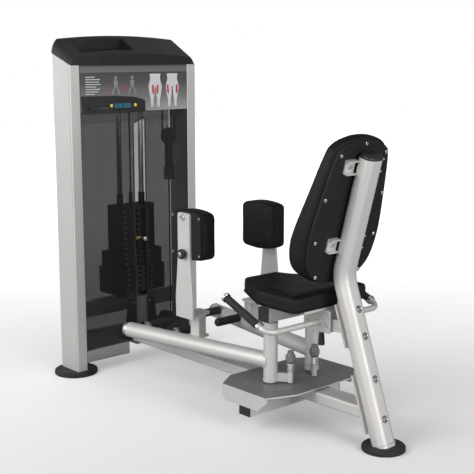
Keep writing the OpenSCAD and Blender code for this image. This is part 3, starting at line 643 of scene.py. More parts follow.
def piping(name, path, radius, key, body, closed=True):
    bm = bmesh.new()
    sweep(bm, path, radius, sides=8, closed=closed)
    return from_bmesh(name, bm, key, body, sharp=80)


# Frame of the backrest: u along the slope, v to the right, w towards the front
TILT = math.radians(15.2)
UP_SLOPE = Vector((math.sin(TILT), 0, math.cos(TILT)))
FORWARD = Vector((-math.cos(TILT), 0, math.sin(TILT)))
BACK_POINT = at(1.4783, 0, 1.1697)


def back_place(u, v, w):
    return BACK_POINT + UP_SLOPE * u + Vector((0, v, 0)) + FORWARD * w


def flowing_outline(half, steps=12):
    """Closed smooth curve through (u, v) points of the right half; the ends lie on the middle line."""
    loop = [Vector(p) for p in half] + [Vector((u, -v)) for u, v in reversed(half[1:-1])]
    n = len(loop)
    pts = []
    for i in range(n):
        p0, p1, p2, p3 = loop[i - 1], loop[i], loop[(i + 1) % n], loop[(i + 2) % n]
        for k in range(steps):
            t = k / steps
            pts.append(p1 + ((p2 - p0) * t + (p0 * 2 - p1 * 5 + p2 * 4 - p3) * t ** 2
                             + (p1 * 3 - p0 - p2 * 3 + p3) * t ** 3) * 0.5)
    return pts


BACK_HALF = [(0.069, 0.0), (0.060, 0.075), (0.036, 0.135), (-0.010, 0.165), (-0.170, 0.194), (-0.350, 0.214),
             (-0.480, 0.190), (-0.548, 0.112), (-0.566, 0.0)]
back_outline = even_outline(flowing_outline(BACK_HALF), 0.012)
BOARD_T = 0.0155
BOARD_INSET = 0.016
BACK_DEPTH, BACK_SWELL = 0.076, 0.008


def back_thickness(u):
    """Share of the full thickness: the cushion thins out towards its top."""
    return 0.62 + 0.58 * min(1.0, max(0.0, (0.08 - u) / 0.46)) ** 1.7


back = cushion_start("backrest_pad", offset_outline(back_outline, 0.003),
                     lambda u, v, w: back_place(u, v, BOARD_T + w * back_thickness(u)),
                     BACK_DEPTH, 0.018, 0.009)
inflate(back, 0.006, BACK_SWELL, back_place(0, 0, BOARD_T), FORWARD)
bm = bmesh.new()
prism(bm, [(p.x, p.y) for p in offset_outline(back_outline, BOARD_INSET)], back_place, BOARD_T - 0.001)
board = from_bmesh("backrest_back_board", bm, "board", "frame", width=0.0012)
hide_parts("backrest_board")
seam_ring = [back_place(p.x, p.y, BOARD_T + 0.05) for p in offset_outline(back_outline, 0.020)]
ring = surface_path(back, seam_ring, -FORWARD)
groove(back, ring + ring[:1], 0.003, 0.006)
finish_cushion(back, "leather", "frame", "backrest_cushion")

# Seat: a wedge that is widest at the rear
SEAT_HALF = [(0.878, 0.088, 0.03), (1.105, 0.216, 0.06), (1.328, 0.224, 0.030)]
seat_outline = even_outline(rounded_outline(
    [(x, y, r) for x, y, r in SEAT_HALF] + [(x, -y, r) for x, y, r in reversed(SEAT_HALF)]), 0.012)


def seat_place(x, y, w):
    return at(x, y, 0.535 + w)


seat = cushion_start("seat_pad", offset_outline(seat_outline, 0.002), seat_place, 0.063, 0.014)
inflate(seat, 0.006, 0.006, seat_place(0, 0, 0), (0, 0, 1))
seam_ring = [seat_place(p.x, p.y, 0.05) for p in offset_outline(seat_outline, 0.016)]
ring = surface_path(seat, seam_ring, (0, 0, -1))
groove(seat, ring + ring[:1], 0.003, 0.006)
finish_cushion(seat, "leather", "seat", "seat_cushion")
piping("seat_edge_piping", [seat_place(p.x, p.y, 0.004) for p in offset_outline(seat_outline, 0.001)],
       0.0032, "leather", "seat")

# Thigh pads: one is swelled, the other is its mirror image
PAD_X, PAD_HALF_W = 0.688, 0.104
PAD_LOW, PAD_HIGH = (0.672, 0.657), (0.873, 0.895)      # heights at the corners and at the middle
pad_outline = even_outline(rounded_outline([
    (PAD_X - PAD_HALF_W, PAD_LOW[0], 0.028), (PAD_X, PAD_LOW[1], 0.5), (PAD_X + PAD_HALF_W, PAD_LOW[0], 0.028),
    (PAD_X + PAD_HALF_W, PAD_HIGH[0], 0.028), (PAD_X, PAD_HIGH[1], 0.35),
    (PAD_X - PAD_HALF_W, PAD_HIGH[0], 0.028)]), 0.008)


def pad_place(x, z, w):
    return at(x, -0.2395 + w, z)


left_pad = cushion_start("left_thigh_cushion", offset_outline(pad_outline, 0.002), pad_place, 0.074, 0.014)
inflate(left_pad, 0.005, 0.006, pad_place(0, 0, 0), (0, 1, 0))
seam_ring = [pad_place(p.x, p.y, 0.07) for p in offset_outline(pad_outline, 0.013)]
ring = surface_path(left_pad, seam_ring, (0, -1, 0))
groove(left_pad, ring + ring[:1], 0.0025, 0.005)
right_pad = left_pad.copy()
right_pad.data = left_pad.data.copy()
right_pad.name = "right_thigh_cushion"
COLLECTION.objects.link(right_pad)
right_pad.data.transform(Matrix.Scale(-1, 4, (0, 1, 0)))
right_pad.data.flip_normals()

for side, sign, pad in (("left", -1, left_pad), ("right", 1, right_pad)):
    finish_cushion(pad, "leather", side + "_pad", side + "_thigh_pad")

    # board behind the cushion, with its edge rolled over
    bm = bmesh.new()
    prism(bm, [(p.x, p.y) for p in offset_outline(pad_outline, 0.006)],
          lambda x, z, w, s=sign: at(x, s * (0.252 - w), z), 0.012)
    from_bmesh(side + "_pad_back_board", bm, "board", side + "_pad", width=0.003)
    bm = bmesh.new()
    sweep(bm, [at(p.x, sign * 0.2385, p.y) for p in offset_outline(pad_outline, 0.0065)], 0.0028, 8, True)
    from_bmesh(side + "_pad_piping", bm, "leather", side + "_pad", sharp=80)
    bm = bmesh.new()
    for x in (0.599, 0.777):
        for z in (0.694, 0.858):
            hex_bolt(bm, at(x, sign * 0.2500, z), (0, sign, 0), 0.0058, 0.004)
    from_bmesh(side + "_pad_screws", bm, "chrome", side + "_pad", sharp=30)

# screws on the backrest board
bm = bmesh.new()
for u, v in ((0.0, 0.131), (-0.178, 0.167), (-0.3575, 0.172), (-0.512, 0.128)):
    for s in (-1, 1):
        hex_bolt(bm, back_place(u, s * v, 0.0), -FORWARD, 0.008, 0.0045)
hex_bolt(bm, back_place(0.042, 0, 0.0), -FORWARD, 0.008, 0.0045)
from_bmesh("backrest_board_screws", bm, "chrome", "frame", sharp=30)

# ---------------------------------------------------------------- carried-over metal parts

for name, width in (("uprights", 0.0012), ("tower_crossmembers", 0.001), ("top_cap", 0.003),
                    ("base_frame", 0.0012), ("platform", 0.0012), ("seat_supports", 0.002),
                    ("left_pad_bracket", 0.0018), ("right_pad_bracket", 0.0018),
                    ("end_plugs", 0.002), ("console_housing", 0.0025), ("rear_leg", 0.0008),
                    ("resting_plates", 0.0015), ("lifted_plates", 0.0015), ("top_plate", 0.001),
                    ("floating_block", 0.003), ("pulley_brackets", 0.001),
                    ("pulley_cover", 0.0008), ("rubber_feet", 0.002), ("seat_carriage", 0.001)):
    bevel(smooth(NODES[name]), width, 2)
for name in NODES:
    if name not in ("front_shroud", "instruction_placard"):
        if not any(m.type == "BEVEL" for m in NODES[name].modifiers):
            smooth(NODES[name])

# ---------------------------------------------------------------- details: tower

# placard print: thin raised shapes, generic only
PRINT_X = -0.0009


def tower_shape(bm, outline, depth=0.0004, x=PRINT_X):
    prism(bm, outline, lambda y, z, w: at(x + w, y, z), depth)


def bar(y0, y1, z0, z1):
    return [(y0, z0), (y1, z0), (y1, z1), (y0, z1)]


def disc(y, z, r, n=20):
    return [(y + r * math.cos(2 * math.pi * k / n), z + r * math.sin(2 * math.pi * k / n)) for k in range(n)]


bm = bmesh.new()
for k, length in enumerate((0.052, 0.084, 0.078, 0.086, 0.060, 0.082, 0.072, 0.050)):
    tower_shape(bm, bar(-0.292, -0.292 + length, 1.442 - 0.0115 * k, 1.4455 - 0.0115 * k))
from_bmesh("placard_text_lines", bm, "print_light", "frame")


def figure_seated(bm_dark, bm_red, y):
    """Small seated figure with two curved arrows beside it."""
    tower_shape(bm_dark, disc(y, 1.438, 0.0085))
    tower_shape(bm_dark, [(y - 0.012, 1.426), (y + 0.012, 1.426), (y + 0.010, 1.392), (y - 0.010, 1.392)])
    for s in (-1, 1):
        tower_shape(bm_dark, [(y + s * 0.003, 1.396), (y + s * 0.011, 1.396), (y + s * 0.027, 1.362),
                              (y + s * 0.019, 1.358)])
        arc = [(y + s * (0.034 + 0.006 * math.sin(t)), 1.385 + 0.022 * math.cos(t) * 1.0)
               for t in (0.3 + 0.24 * k for k in range(10))]
        inner = [(a - s * 0.003, b) for a, b in reversed(arc)]
        tower_shape(bm_red, arc + inner)


dark, red, light = bmesh.new(), bmesh.new(), bmesh.new()
for y in (-0.118, -0.020):
    tower_shape(light, bar(y - 0.040, y + 0.040, 1.352, 1.353))
    figure_seated(dark, red, y)
from_bmesh("placard_posture_marks", dark, "print_mid", "frame")
from_bmesh("placard_ground_lines", light, "print_mid", "frame")
figures = bmesh.new()
for n, y in enumerate((0.120, 0.228)):
    tower_shape(figures, [(y - 0.034, 1.455), (y + 0.034, 1.455), (y + 0.030, 1.430), (y + 0.042, 1.392),
                          (y - 0.042, 1.392), (y - 0.030, 1.430)])
    for s in (-1, 1):
        tower_shape(figures, [(y + s * 0.003, 1.393), (y + s * 0.042, 1.393), (y + s * 0.034, 1.350),
                              (y + s * 0.028, 1.325), (y + s * 0.026, 1.292), (y + s * 0.014, 1.292),
                              (y + s * 0.011, 1.330), (y + s * 0.006, 1.350)])
        reach = 0.012 if n == 0 else 0.026
        tower_shape(red, [(y + s * reach, 1.402), (y + s * (reach + 0.009), 1.398),
                          (y + s * (reach + 0.007), 1.362), (y + s * (reach - 0.002), 1.352),
                          (y + s * (reach - 0.005), 1.372)], depth=0.0008)
from_bmesh("placard_leg_figures", figures, "print_light", "frame")
from_bmesh("placard_muscle_marks", red, "print_red", "frame")

# console: bezel, two screen windows, button rims and a jack
CONSOLE_X = 0.013
bm = bmesh.new()
for y0, y1 in ((-0.1375, -0.094), (-0.0885, -0.043)):
    outline = [(p.x, p.y) for p in rounded_outline(
        [(y0 + 0.002, 1.2955, 0.002), (y1, 1.2955, 0.002), (y1, 1.3165, 0.002), (y0 + 0.002, 1.3165, 0.002)], 4)]
    tower_shape(bm, outline, x=CONSOLE_X - 0.0006)
from_bmesh("screen_windows", bm, "lcd_bright", "frame")
bm = bmesh.new()
for y0, y1, rows in ((-0.1375, -0.094, 4), (-0.0885, -0.043, 3)):
    for k in range(rows):
        y = y0 + 0.006 + (y1 - y0 - 0.010) * k / rows
        for z0, z1 in ((1.299, 1.3055), (1.3070, 1.3135)):
            tower_shape(bm, bar(y, y + 0.0012, z0, z1), x=CONSOLE_X - 0.0002)
            tower_shape(bm, bar(y + 0.0055, y + 0.0067, z0, z1), x=CONSOLE_X - 0.0002)
        tower_shape(bm, bar(y, y + 0.0067, 1.3056, 1.3068), x=CONSOLE_X - 0.0002)
from_bmesh("screen_segments", bm, "print_dark", "frame")
bm = bmesh.new()
sweep(bm, [at(CONSOLE_X + 0.0004, p.x, p.y) for p in rounded_outline(
    [(-0.142, 1.2895, 0.005), (-0.038, 1.2895, 0.005), (-0.038, 1.322, 0.005), (-0.142, 1.322, 0.005)], 6)],
      0.0022, 8, True)
for y in (-0.156, -0.015):
    sweep(bm, torus_points(at(CONSOLE_X + 0.0003, y, 1.307), (1, 0, 0), 0.0105), 0.0016, 8, True)
sweep(bm, torus_points(at(CONSOLE_X + 0.0003, -0.289, 1.296), (1, 0, 0), 0.0062), 0.0014, 8, True)
sweep(bm, torus_points(at(CONSOLE_X + 0.0003, -0.252, 1.305), (1, 0, 0), 0.005), 0.0010, 8, True)
from_bmesh("console_rims", bm, "plastic", "frame", sharp=80)
bm = bmesh.new()
for k in range(4):
    tower_shape(bm, bar(-0.225 + 0.014 * k, -0.217 + 0.014 * k, 1.2955, 1.2975), x=CONSOLE_X - 0.0001)
from_bmesh("console_marks", bm, "print_mid", "frame")

# cover screws and the slot's rubber edge
bm = bmesh.new()
for y, z in ((-0.300, 0.075), (0.300, 0.075)):
    hex_bolt(bm, at(-0.004, y, z), (1, 0, 0), 0.006, 0.003)
for y in (-0.030, 0.068):
    hex_bolt(bm, at(-0.0118, y, 0.310), (1, 0, 0), 0.008, 0.004)
from_bmesh("cover_screws", bm, "chrome", "frame", sharp=30)
slot_edge = [(-0.016, 0.200), (0.056, 0.200), (0.056, 1.228), (0.050, 1.238), (0.042, 1.239), (-0.016, 1.214)]
bm = bmesh.new()
sweep(bm, [at(-0.006, y, z) for y, z in slot_edge], 0.0030, 8, True)
from_bmesh("slot_edge", bm, "rubber", "frame", sharp=80)

# thin dark strips set into the groove line of each upright, just behind the front plane: painted shade of the grooves
bm = bmesh.new()
for s in (-1, 1):
    prism(bm, bar(s * 0.3240 - 0.0012, s * 0.3240 + 0.0012, 0.056, 1.499),
          lambda y, z, w: at(-0.0075 + w, y, z), 0.006)
from_bmesh("upright_groove_shade_strips", bm, "rubber", "frame")

# selector pin: knob skirt and lanyard
PIN_Z = 0.363 + 10.5 * 0.0264
turned_piece("selector_knob", [(0, 0.034), (0.006, 0.0335), (0.0118, 0.030), (0.0135, 0.024), (0.0130, 0.006),
                               (0.0105, 0.001), (0.0, 0.001)],
             at(0.002, 0.020, PIN_Z), (1, 0, 0), "chrome", "selector_pin")
coil = [at(0.010 + 0.003 * math.cos(3 * t), 0.004 - 0.0052 * t, PIN_Z + 0.004 + 0.006 * math.sin(3 * t))
        for t in (0.1 * k for k in range(50))]
piping("selector_lanyard", coil, 0.0014, "cord", "selector_pin", closed=False)

# plate labels: a light strip of short marks down the front of the stack
for body, first, last in (("frame", 0, 10), ("selected_weights", 10, 16)):
    bm = bmesh.new()
    for i in range(first, last):
        depth = 0.0695 if i < 5 else 0.055 if i < 8 else 0.045
        z = 0.363 + (i + 0.5) * 0.0264
        for y in (-0.050, 0.090):
            prism(bm, bar(y - 0.010, y + 0.010, z - 0.006, z + 0.006),
                  lambda yy, zz, w, d=depth: at(-0.087 + d + w, yy, zz), 0.0005)
    from_bmesh(body + "_plate_labels", bm, "print_mid", body)

# feet: two raised rings on each disc
bm = bmesh.new()
for x, y, r in ((-0.066, -0.347, 0.105), (-0.066, 0.347, 0.105), (1.611, 0, 0.088)):
    sweep(bm, torus_points(at(x, y, 0.0186), (0, 0, 1), r - 0.011, 64), 0.0026, 8, True)
    sweep(bm, torus_points(at(x, y, 0.0186), (0, 0, 1), r - 0.020, 64), 0.0018, 8, True)
from_bmesh("feet_rings", bm, "rubber", "frame", sharp=80)

# ---------------------------------------------------------------- details: welds

def weld(name, path, body, radius=0.0022, closed=True):
    """Bead with the scalloped look of a hand-laid weld."""
    bm = bmesh.new()
    pts = [Vector(p) for p in path]
    length = sum((b - a).length for a, b in zip(pts, pts[1:]))
    ripples = max(6, length / 0.006)
    sweep(bm, pts, lambda t: radius * (1 + 0.16 * math.sin(2 * math.pi * ripples * t)), 8, closed)
    from_bmesh(name, bm, "silver", body, sharp=80)


POST = {"left": at(1.0905, -0.1253, 0), "right": at(1.0905, 0.1253, 0)}
for side, sign in (("left", -1), ("right", 1)):
    post = POST[side]
    arm_dir = Vector((-math.cos(math.radians(10)), sign * math.sin(math.radians(10)), 0))
    across = Vector((0, 0, 1)).cross(arm_dir)
    # where the arm's tube meets the sleeve
    loop = []
    for k in range(72):
        a = 2 * math.pi * k / 72
        off = 0.035 * math.cos(a)
        reach = math.sqrt(max(0, 0.0302 ** 2 - off ** 2)) if abs(off) < 0.0302 else 0.0
        loop.append(post + Vector((0, 0, 0.2746 + 0.035 * math.sin(a))) + across * off + arm_dir * (reach + 0.002))
    weld(side + "_arm_weld", loop, side + "_arm", 0.0028)
    # bright rings at both ends of the sleeve
    bm = bmesh.new()
    for z, h in ((0.186, 0.012), (0.434, 0.012)):
        turned(bm, [(0.0302, 0), (0.0318, 0.001), (0.0318, h - 0.001), (0.0302, h)], post + Vector((0, 0, z)),
               (0, 0, 1), 48)
    from_bmesh(side + "_sleeve_rings", bm, "silver", side + "_arm", sharp=50)
    # end cap of the arm, with a ring line
    tip = post + Vector((0, 0, 0.2746)) + arm_dir * 0.831
    bm = bmesh.new()
    turned(bm, [(0.0349, -0.012), (0.0357, -0.011), (0.0357, -0.001), (0.0349, 0)], tip, arm_dir, 64)
    from_bmesh(side + "_arm_cap_ring", bm, "chrome", side + "_arm", sharp=50)
    # foot pegs: collars at the arm and ribs on the rubber
    for n, u in enumerate((0.56, 0.74)):
        root = post + arm_dir * u + Vector((0, 0, 0.300))
        inward = Vector((0, -sign, 0))
        bm = bmesh.new()
        turned(bm, [(0.0135, 0.024), (0.0205, 0.025), (0.0210, 0.037), (0.0135, 0.038)], root, inward, 40)
        from_bmesh(f"{side}_peg_collar_{n}", bm, "chrome", side + "_arm", sharp=50)
        bm = bmesh.new()
        for k in range(9):
            sweep(bm, torus_points(root + inward * (0.052 + 0.013 * k), inward, 0.0186, 40), 0.0016, 6, True)
        from_bmesh(f"{side}_peg_ribs_{n}", bm, "rubber", side + "_arm", sharp=80)
    # pop pin: chrome collar on the arm and finger grooves on the knob
    pin = post + Matrix.Rotation(math.radians(-sign * 38.3), 3, "Z") @ Vector((0.0855, 0, 0))
    turned_piece(side + "_pop_pin_collar",
                 [(0.0045, 0.0), (0.0162, 0.0), (0.0164, 0.004), (0.0158, 0.006), (0.0158, 0.028), (0.0145, 0.0325),
                  (0.0045, 0.0325)],
                 pin + Vector((0, 0, 0.2348)), (0, 0, 1), "chrome", side + "_arm", sharp=40)
    bm = bmesh.new()
    for k in range(10):
        a = 2 * math.pi * k / 10
        edge = Vector((math.cos(a), math.sin(a), 0))
        sweep(bm, [pin + edge * 0.0198 + Vector((0, 0, z)) for z in (0.280, 0.286, 0.294, 0.301)], 0.0022, 8)
    turned(bm, [(0, 0.0548), (0.010, 0.0545), (0.0128, 0.052), (0.0128, 0.046), (0, 0.046)],
           pin + Vector((0, 0, 0.268)), (0, 0, 1), 32, close=False)
    from_bmesh(side + "_pop_pin_ribs", bm, "pin_knob", side + "_pop_pin", sharp=50)
    # pad bracket: weld round the swivel tube, the bolt at the top and the knob's chrome centre
    y_face = sign * 0.2620
    bm = bmesh.new()
    hex_bolt(bm, at(0.683, y_face + sign * 0.005, 0.854), (0, sign, 0), 0.0105, 0.006)
    turned(bm, [(0.0065, 0.0), (0.0135, 0.0), (0.0135, 0.0018), (0.0065, 0.0018)],
           at(0.683, y_face, 0.854), (0, sign, 0), 32)
    from_bmesh(side + "_bar_bolt", bm, "chrome", side + "_pad", sharp=30)
    knob = at(0.688, y_face, 0.695)
    bm = bmesh.new()
    for k in range(12):
        a = 2 * math.pi * k / 12
        edge = Vector((math.cos(a), 0, math.sin(a)))
        sweep(bm, [knob + edge * 0.0206 + Vector((0, sign * d, 0)) for d in (0.009, 0.013, 0.018, 0.0225)], 0.0022, 8)
    from_bmesh(side + "_pad_knob_ribs", bm, "knob", side + "_pad_knob", sharp=50)
    turned_piece(side + "_pad_knob_centre", [(0, 0.0295), (0.005, 0.0292), (0.0095, 0.0278), (0.0105, 0.026), (0, 0.026)],
                 knob, (0, sign, 0), "chrome", side + "_pad_knob", sharp=40)
    base = Vector((at(0.660, 0, 0).x, sign * 0.163, 0))
    turn = Matrix.Rotation(math.radians(-sign * 10), 3, "Z")
    square = [turn @ Vector((x, y, 0)) for x, y in ((-.0265, -.0265), (.0265, -.0265), (.0265, .0265), (-.0265, .0265))]
    path = []
    for k in range(4):
        a, b = square[k], square[(k + 1) % 4]
        path += [base + a.lerp(b, t / 10) + Vector((0, 0, 0.4095)) for t in range(10)]
    weld(side + "_bracket_weld", path, side + "_pad", 0.0022)
    # seam between the two handle tubes and their chrome end rings
    grip_dir = (Matrix.Rotation(math.radians(23), 3, "Y") @ Vector((-1, 0, 0)))
    start = at(1.290, sign * 0.334, 0.470)
    end = start + grip_dir * 0.272
    bm = bmesh.new()
    turned(bm, [(0, 0.003), (0.010, 0.0028), (0.017, 0.0012), (0.0200, -0.002), (0.0200, -0.011), (0.0185, -0.0125),
                (0.0125, -0.0125)], end, grip_dir, 40, close=True)
    from_bmesh(side + "_grip_end_ring", bm, "chrome", "seat", sharp=40)
    bm = bmesh.new()
    turned(bm, [(0.0128, -0.002), (0.0192, -0.002), (0.0198, 0.000), (0.0198, 0.008), (0.0128, 0.010)],
           start + grip_dir * 0.048, grip_dir, 40)
    from_bmesh(side + "_grip_collar", bm, "chrome", "seat", sharp=40)
    bm = bmesh.new()
    for k in range(26):
        sweep(bm, torus_points(start + grip_dir * (0.070 + 0.0072 * k), grip_dir, 0.0157, 36), 0.0013, 6, True)
    from_bmesh(side + "_grip_ribs", bm, "grip", "seat", sharp=80)
    # platform: fold line bead along each folded side
    bm = bmesh.new()
    sweep(bm, [at(x, sign * 0.2838, 0.1797) for x in (0.966, 1.05, 1.15, 1.234)], 0.0016, 8)
    from_bmesh(side + "_platform_fold", bm, "dark", "frame", sharp=80)

# ---------------------------------------------------------------- details: rear leg

LEAN = math.radians(19.2)
CORNER = at(1.383, 0, 0.675)
DOWN = Vector((math.sin(LEAN), 0, -math.cos(LEAN)))
REAR = Vector((math.cos(LEAN), 0, math.sin(LEAN)))
LEG_HALF_D, LEG_HALF_W = 0.037, 0.046


def leg_section_points(grow=0.0, r=0.030, steps=8):
    d, w = LEG_HALF_D + grow, LEG_HALF_W + grow
    return [(p.x, p.y) for p in rounded_outline(
        [(-d, -w, r + grow), (d, -w, r + grow), (d, w, r + grow), (-d, w, r + grow)], steps)]


def leg_ring(s, grow):
    return [CORNER + DOWN * s + REAR * u + Vector((0, v, 0)) for u, v in leg_section_points(grow)]


weld("leg_bend_seam_low", leg_ring(0.0465, 0.0), "frame", 0.0010)
UP = Vector((math.sin(TILT), 0, math.cos(TILT)))
BACKWARD = Vector((math.cos(TILT), 0, -math.sin(TILT)))
weld("leg_bend_seam_high", [CORNER + UP * 0.0465 + BACKWARD * u + Vector((0, v, 0)) for u, v in leg_section_points()],
     "frame", 0.0010)
weld("leg_foot_weld", [p for p in leg_ring(0.690, 0.0005)], "frame", 0.0024)
bm = bmesh.new()
for s in (0.148, 0.258, 0.432, 0.594):
    centre = CORNER + DOWN * s + REAR * LEG_HALF_D
    turned(bm, [(0.006, 0.0), (0.0155, 0.0), (0.0155, 0.0022), (0.006, 0.0022)], centre, REAR, 40)
    hex_bolt(bm, centre + REAR * 0.002, REAR, 0.0108, 0.0075)
from_bmesh("leg_bolt_heads", bm, "chrome", "frame", sharp=30)

# curved plate edges near the bolts, laid on the side of the leg
for n, (a, b) in enumerate(((0.100, 0.300), (0.385, 0.645))):
    for s in (-1, 1):
        pts = []
        for k in range(25):
            t = k / 24
            along = a + (b - a) * t
            depth = -LEG_HALF_D + 0.014 + 0.016 * math.sin(math.pi * t)
            pts.append(CORNER + DOWN * along + REAR * depth + Vector((0, s * LEG_HALF_W, 0)))
        weld(f"leg_plate_edge_{n}_{'left' if s < 0 else 'right'}", pts, "frame", 0.0014, closed=False)

# domed cap at the top of the leg
top = CORNER + UP * 0.498
bm = bmesh.new()
layers = []
for grow, h in ((0.0, 0.0), (0.001, 0.002), (0.001, 0.007), (-0.002, 0.012), (-0.009, 0.016), (-0.020, 0.0175)):
    r = max(0.008, 0.030 + grow)
    layers.append([bm.verts.new(top + UP * h + BACKWARD * u + Vector((0, v, 0)))
                   for u, v in leg_section_points(grow, r - grow)])
for a, b in zip(layers, layers[1:]):
    for i in range(len(a)):
        bm.faces.new([a[i], a[(i + 1) % len(a)], b[(i + 1) % len(a)], b[i]])
bm.faces.new(layers[-1])
bm.faces.new(list(reversed(layers[0])))
from_bmesh("leg_cap_dome", bm, "plastic", "frame", sharp=60)

# bracket bolts behind the backrest
bm = bmesh.new()
for u in (-0.0465, -0.3765):
    for s in (-1, 1):
        hex_bolt(bm, back_place(u, s * 0.072, 0) + BACKWARD * 0.0055, BACKWARD, 0.0092, 0.007)
from_bmesh("bracket_bolt_heads", bm, "chrome", "frame", sharp=30)

# seat carriage: U-shaped cheeks with bolts, and the pull pin's chrome collar
for s in (-1, 1):
    label = "left" if s < 0 else "right"
    bm = bmesh.new()
    outline = rounded_outline([(1.205, 0.428, 0.012), (1.355, 0.428, 0.012), (1.355, 0.523, 0.008),
                               (1.205, 0.523, 0.008)], 6)
    prism(bm, [(p.x, p.y) for p in outline], lambda x, z, w, s=s: at(x, s * (0.0382 + w), z), 0.006)
    from_bmesh(label + "_carriage_cheek", bm, "silver", "seat", width=0.0012)
    bm = bmesh.new()
    for x, z in ((1.232, 0.462), (1.335, 0.462), (1.232, 0.505), (1.335, 0.505)):
        hex_bolt(bm, at(x, s * 0.0442, z), (0, s, 0), 0.0075, 0.005)
    from_bmesh(label + "_carriage_bolts", bm, "chrome", "seat", sharp=30)
    tube = at(1.290, s * 0.0442, 0.470)
    weld(label + "_handle_weld", torus_points(tube, (0, 1, 0), 0.0135, 36), "seat", 0.0024)
turned_piece("seat_pin_collar", [(0.0042, 0.0), (0.0125, 0.0), (0.0130, 0.003), (0.0130, 0.012), (0.0100, 0.017),
                                 (0.0042, 0.017)],
             at(1.266, 0, 0.4145), (0, 0, 1), "chrome", "seat", sharp=40)

# ---------------------------------------------------------------- ropes that change length

def rope(name, x, y, z0, z1, body, node=None, radius=0.0042):
    bm = bmesh.new()
    steps = max(4, round((z1 - z0) / 0.02))
    sweep(bm, [at(x, y, z0 + (z1 - z0) * k / steps) for k in range(steps + 1)], radius, 12)
    o = from_bmesh(name, bm, "rope", body, sharp=80)
    if node:
        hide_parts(node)
    return o


STACK_X = -0.087
LIFT, DROP = 0.1335, 0.067
stack_rope = rope("stack_rope", STACK_X, 0.020, 0.8614, 1.445, "frame", "stack_cable")
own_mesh(stack_rope)
pull_rope = rope("pull_rope", STACK_X, 0.268, 0.170, 0.910, "frame", "pull_cable")
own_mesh(pull_rope)
for name, y, z1, node in (("float_rope_run", 0.228, 1.445, "float_cable_run"),
                          ("float_rope_tail", 0.308, 1.240, "float_cable_tail")):
    rope(name + "_upper", STACK_X, y, 1.134, z1, "frame", node)
    rope(name + "_lower", STACK_X, y, 1.134, 1.134 + DROP + 0.004, "floating_block", radius=0.0040)

# ---------------------------------------------------------------- stage, light and camera

FLOOR_GLOW = (0.0, 1.0)      # light added to the floor near the camera and far away
FLOOR_HALF = 16.0
EYE = at(4.1117, -3.0282, 1.5561)
LOOK = Vector((-0.7323, 0.6577, -0.1763)).normalized()
EYE_BACK = -EYE.dot(Vector((LOOK.x, LOOK.y, 0)).normalized())
NEAR_VIEW, FAR_VIEW = math.hypot(EYE_BACK - 1.2, EYE.z), math.hypot(EYE_BACK + 4.9, EYE.z)
bm = bmesh.new()
corners = [bm.verts.new((x * FLOOR_HALF, y * FLOOR_HALF, 0)) for x, y in ((-1, -1), (1, -1), (1, 1), (-1, 1))]
bm.faces.new(corners)
floor_mesh = bpy.data.meshes.new("floor")
bm.to_mesh(floor_mesh)
bm.free()
floor = bpy.data.objects.new("floor", floor_mesh)
COLLECTION.objects.link(floor)
fm, nt, fb, _ = new_material("floor_paint")
seen = add(nt, "ShaderNodeLightPath").outputs["Is Camera Ray"]
pale = ramp(nt, noise(nt, coords(nt), 0.6, 3), [(0.3, grey(0.80)), (0.7, grey(0.83))])
nt.links.new(mix(nt, seen, grey(0.35), pale), fb.inputs["Base Color"])
fb.inputs["Emission Color"].default_value = (1.0, 1.0, 1.0, 1)
distance = add(nt, "ShaderNodeCameraData").outputs["View Distance"]
lift = add(nt, "ShaderNodeMapRange", {"Value": distance, "From Min": NEAR_VIEW, "From Max": FAR_VIEW,
                                      "To Min": FLOOR_GLOW[0], "To Max": FLOOR_GLOW[1]}).outputs[0]
nt.links.new(add(nt, "ShaderNodeMath", {0: seen, 1: lift}, operation="MULTIPLY").outputs[0],
             fb.inputs["Emission Strength"])
fb.inputs["Roughness"].default_value = 0.7
floor.data.materials.append(fm)

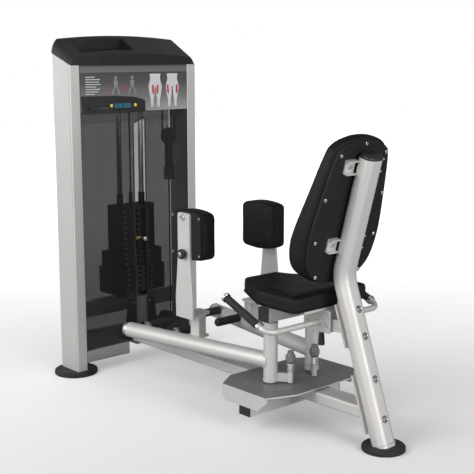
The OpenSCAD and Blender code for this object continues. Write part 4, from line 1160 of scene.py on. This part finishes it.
def studio_world():
    """White behind the camera's view; for light and reflections, bright on the left side,
    medium in front and dark above and behind."""
    w = bpy.data.worlds.new("studio")
    w.use_nodes = True
    nt = w.node_tree
    back = nt.nodes["Background"]
    way = add(nt, "ShaderNodeSeparateXYZ", {0: add(nt, "ShaderNodeTexCoord").outputs["Generated"]})
    lean = add(nt, "ShaderNodeVectorMath", {0: add(nt, "ShaderNodeTexCoord").outputs["Generated"],
                                            1: (-0.25, -0.97, 0.0)}, operation="DOT_PRODUCT").outputs["Value"]
    side = add(nt, "ShaderNodeMapRange", {"Value": lean, "From Min": -0.9, "From Max": 0.9,
                                          "To Min": SIDE_DARK, "To Max": SIDE_LIGHT}).outputs[0]
    height = add(nt, "ShaderNodeMapRange", {"Value": way.outputs[2], "From Min": 0.1, "From Max": 0.8,
                                            "To Min": 1.0, "To Max": TOP_SHARE}).outputs[0]
    level = add(nt, "ShaderNodeMath", {0: side, 1: height}, operation="MULTIPLY").outputs[0]
    seen = add(nt, "ShaderNodeLightPath").outputs["Is Camera Ray"]
    level = add(nt, "ShaderNodeMix", {0: seen, 2: level, 3: 1.0}).outputs[0]
    nt.links.new(level, back.inputs["Strength"])
    back.inputs["Color"].default_value = (1.0, 1.0, 1.0, 1)
    return w


SIDE_DARK, SIDE_LIGHT, TOP_SHARE = 0.22, 1.45, 0.22
bpy.context.scene.world = studio_world()


def area(name, place, target, size, power, colour=(1, 1, 1)):
    light = bpy.data.lights.new(name, "AREA")
    light.shape, light.size, light.size_y = "RECTANGLE", size[0], size[1]
    light.energy, light.color = power, colour
    o = bpy.data.objects.new(name, light)
    o.location = place
    o.rotation_euler = (Vector(target) - Vector(place)).to_track_quat("-Z", "Y").to_euler()
    COLLECTION.objects.link(o)


area("key", (-0.2, -4.2, 2.6), (0, 0, 0.7), (3.0, 2.2), 115)
area("front", (4.6, 0.2, 1.8), (0, 0, 0.7), (2.4, 2.4), 105)
area("top", (-0.2, 0.0, 4.4), (0, 0, 0.6), (3.0, 3.0), 14)

ROLL = math.radians(-0.0832)
camera_data = bpy.data.cameras.new("photo_camera")
camera_data.sensor_width = 36
camera_data.lens = 1028.3058 / 474 * 36
camera_data.clip_end = 60
camera = bpy.data.objects.new("photo_camera", camera_data)
COLLECTION.objects.link(camera)
camera.location = EYE
camera.rotation_euler = LOOK.to_track_quat("-Z", "Y").to_euler()
camera.rotation_euler.rotate_axis("Z", ROLL)
bpy.context.scene.camera = camera
bpy.context.scene.view_settings.view_transform = "Standard"
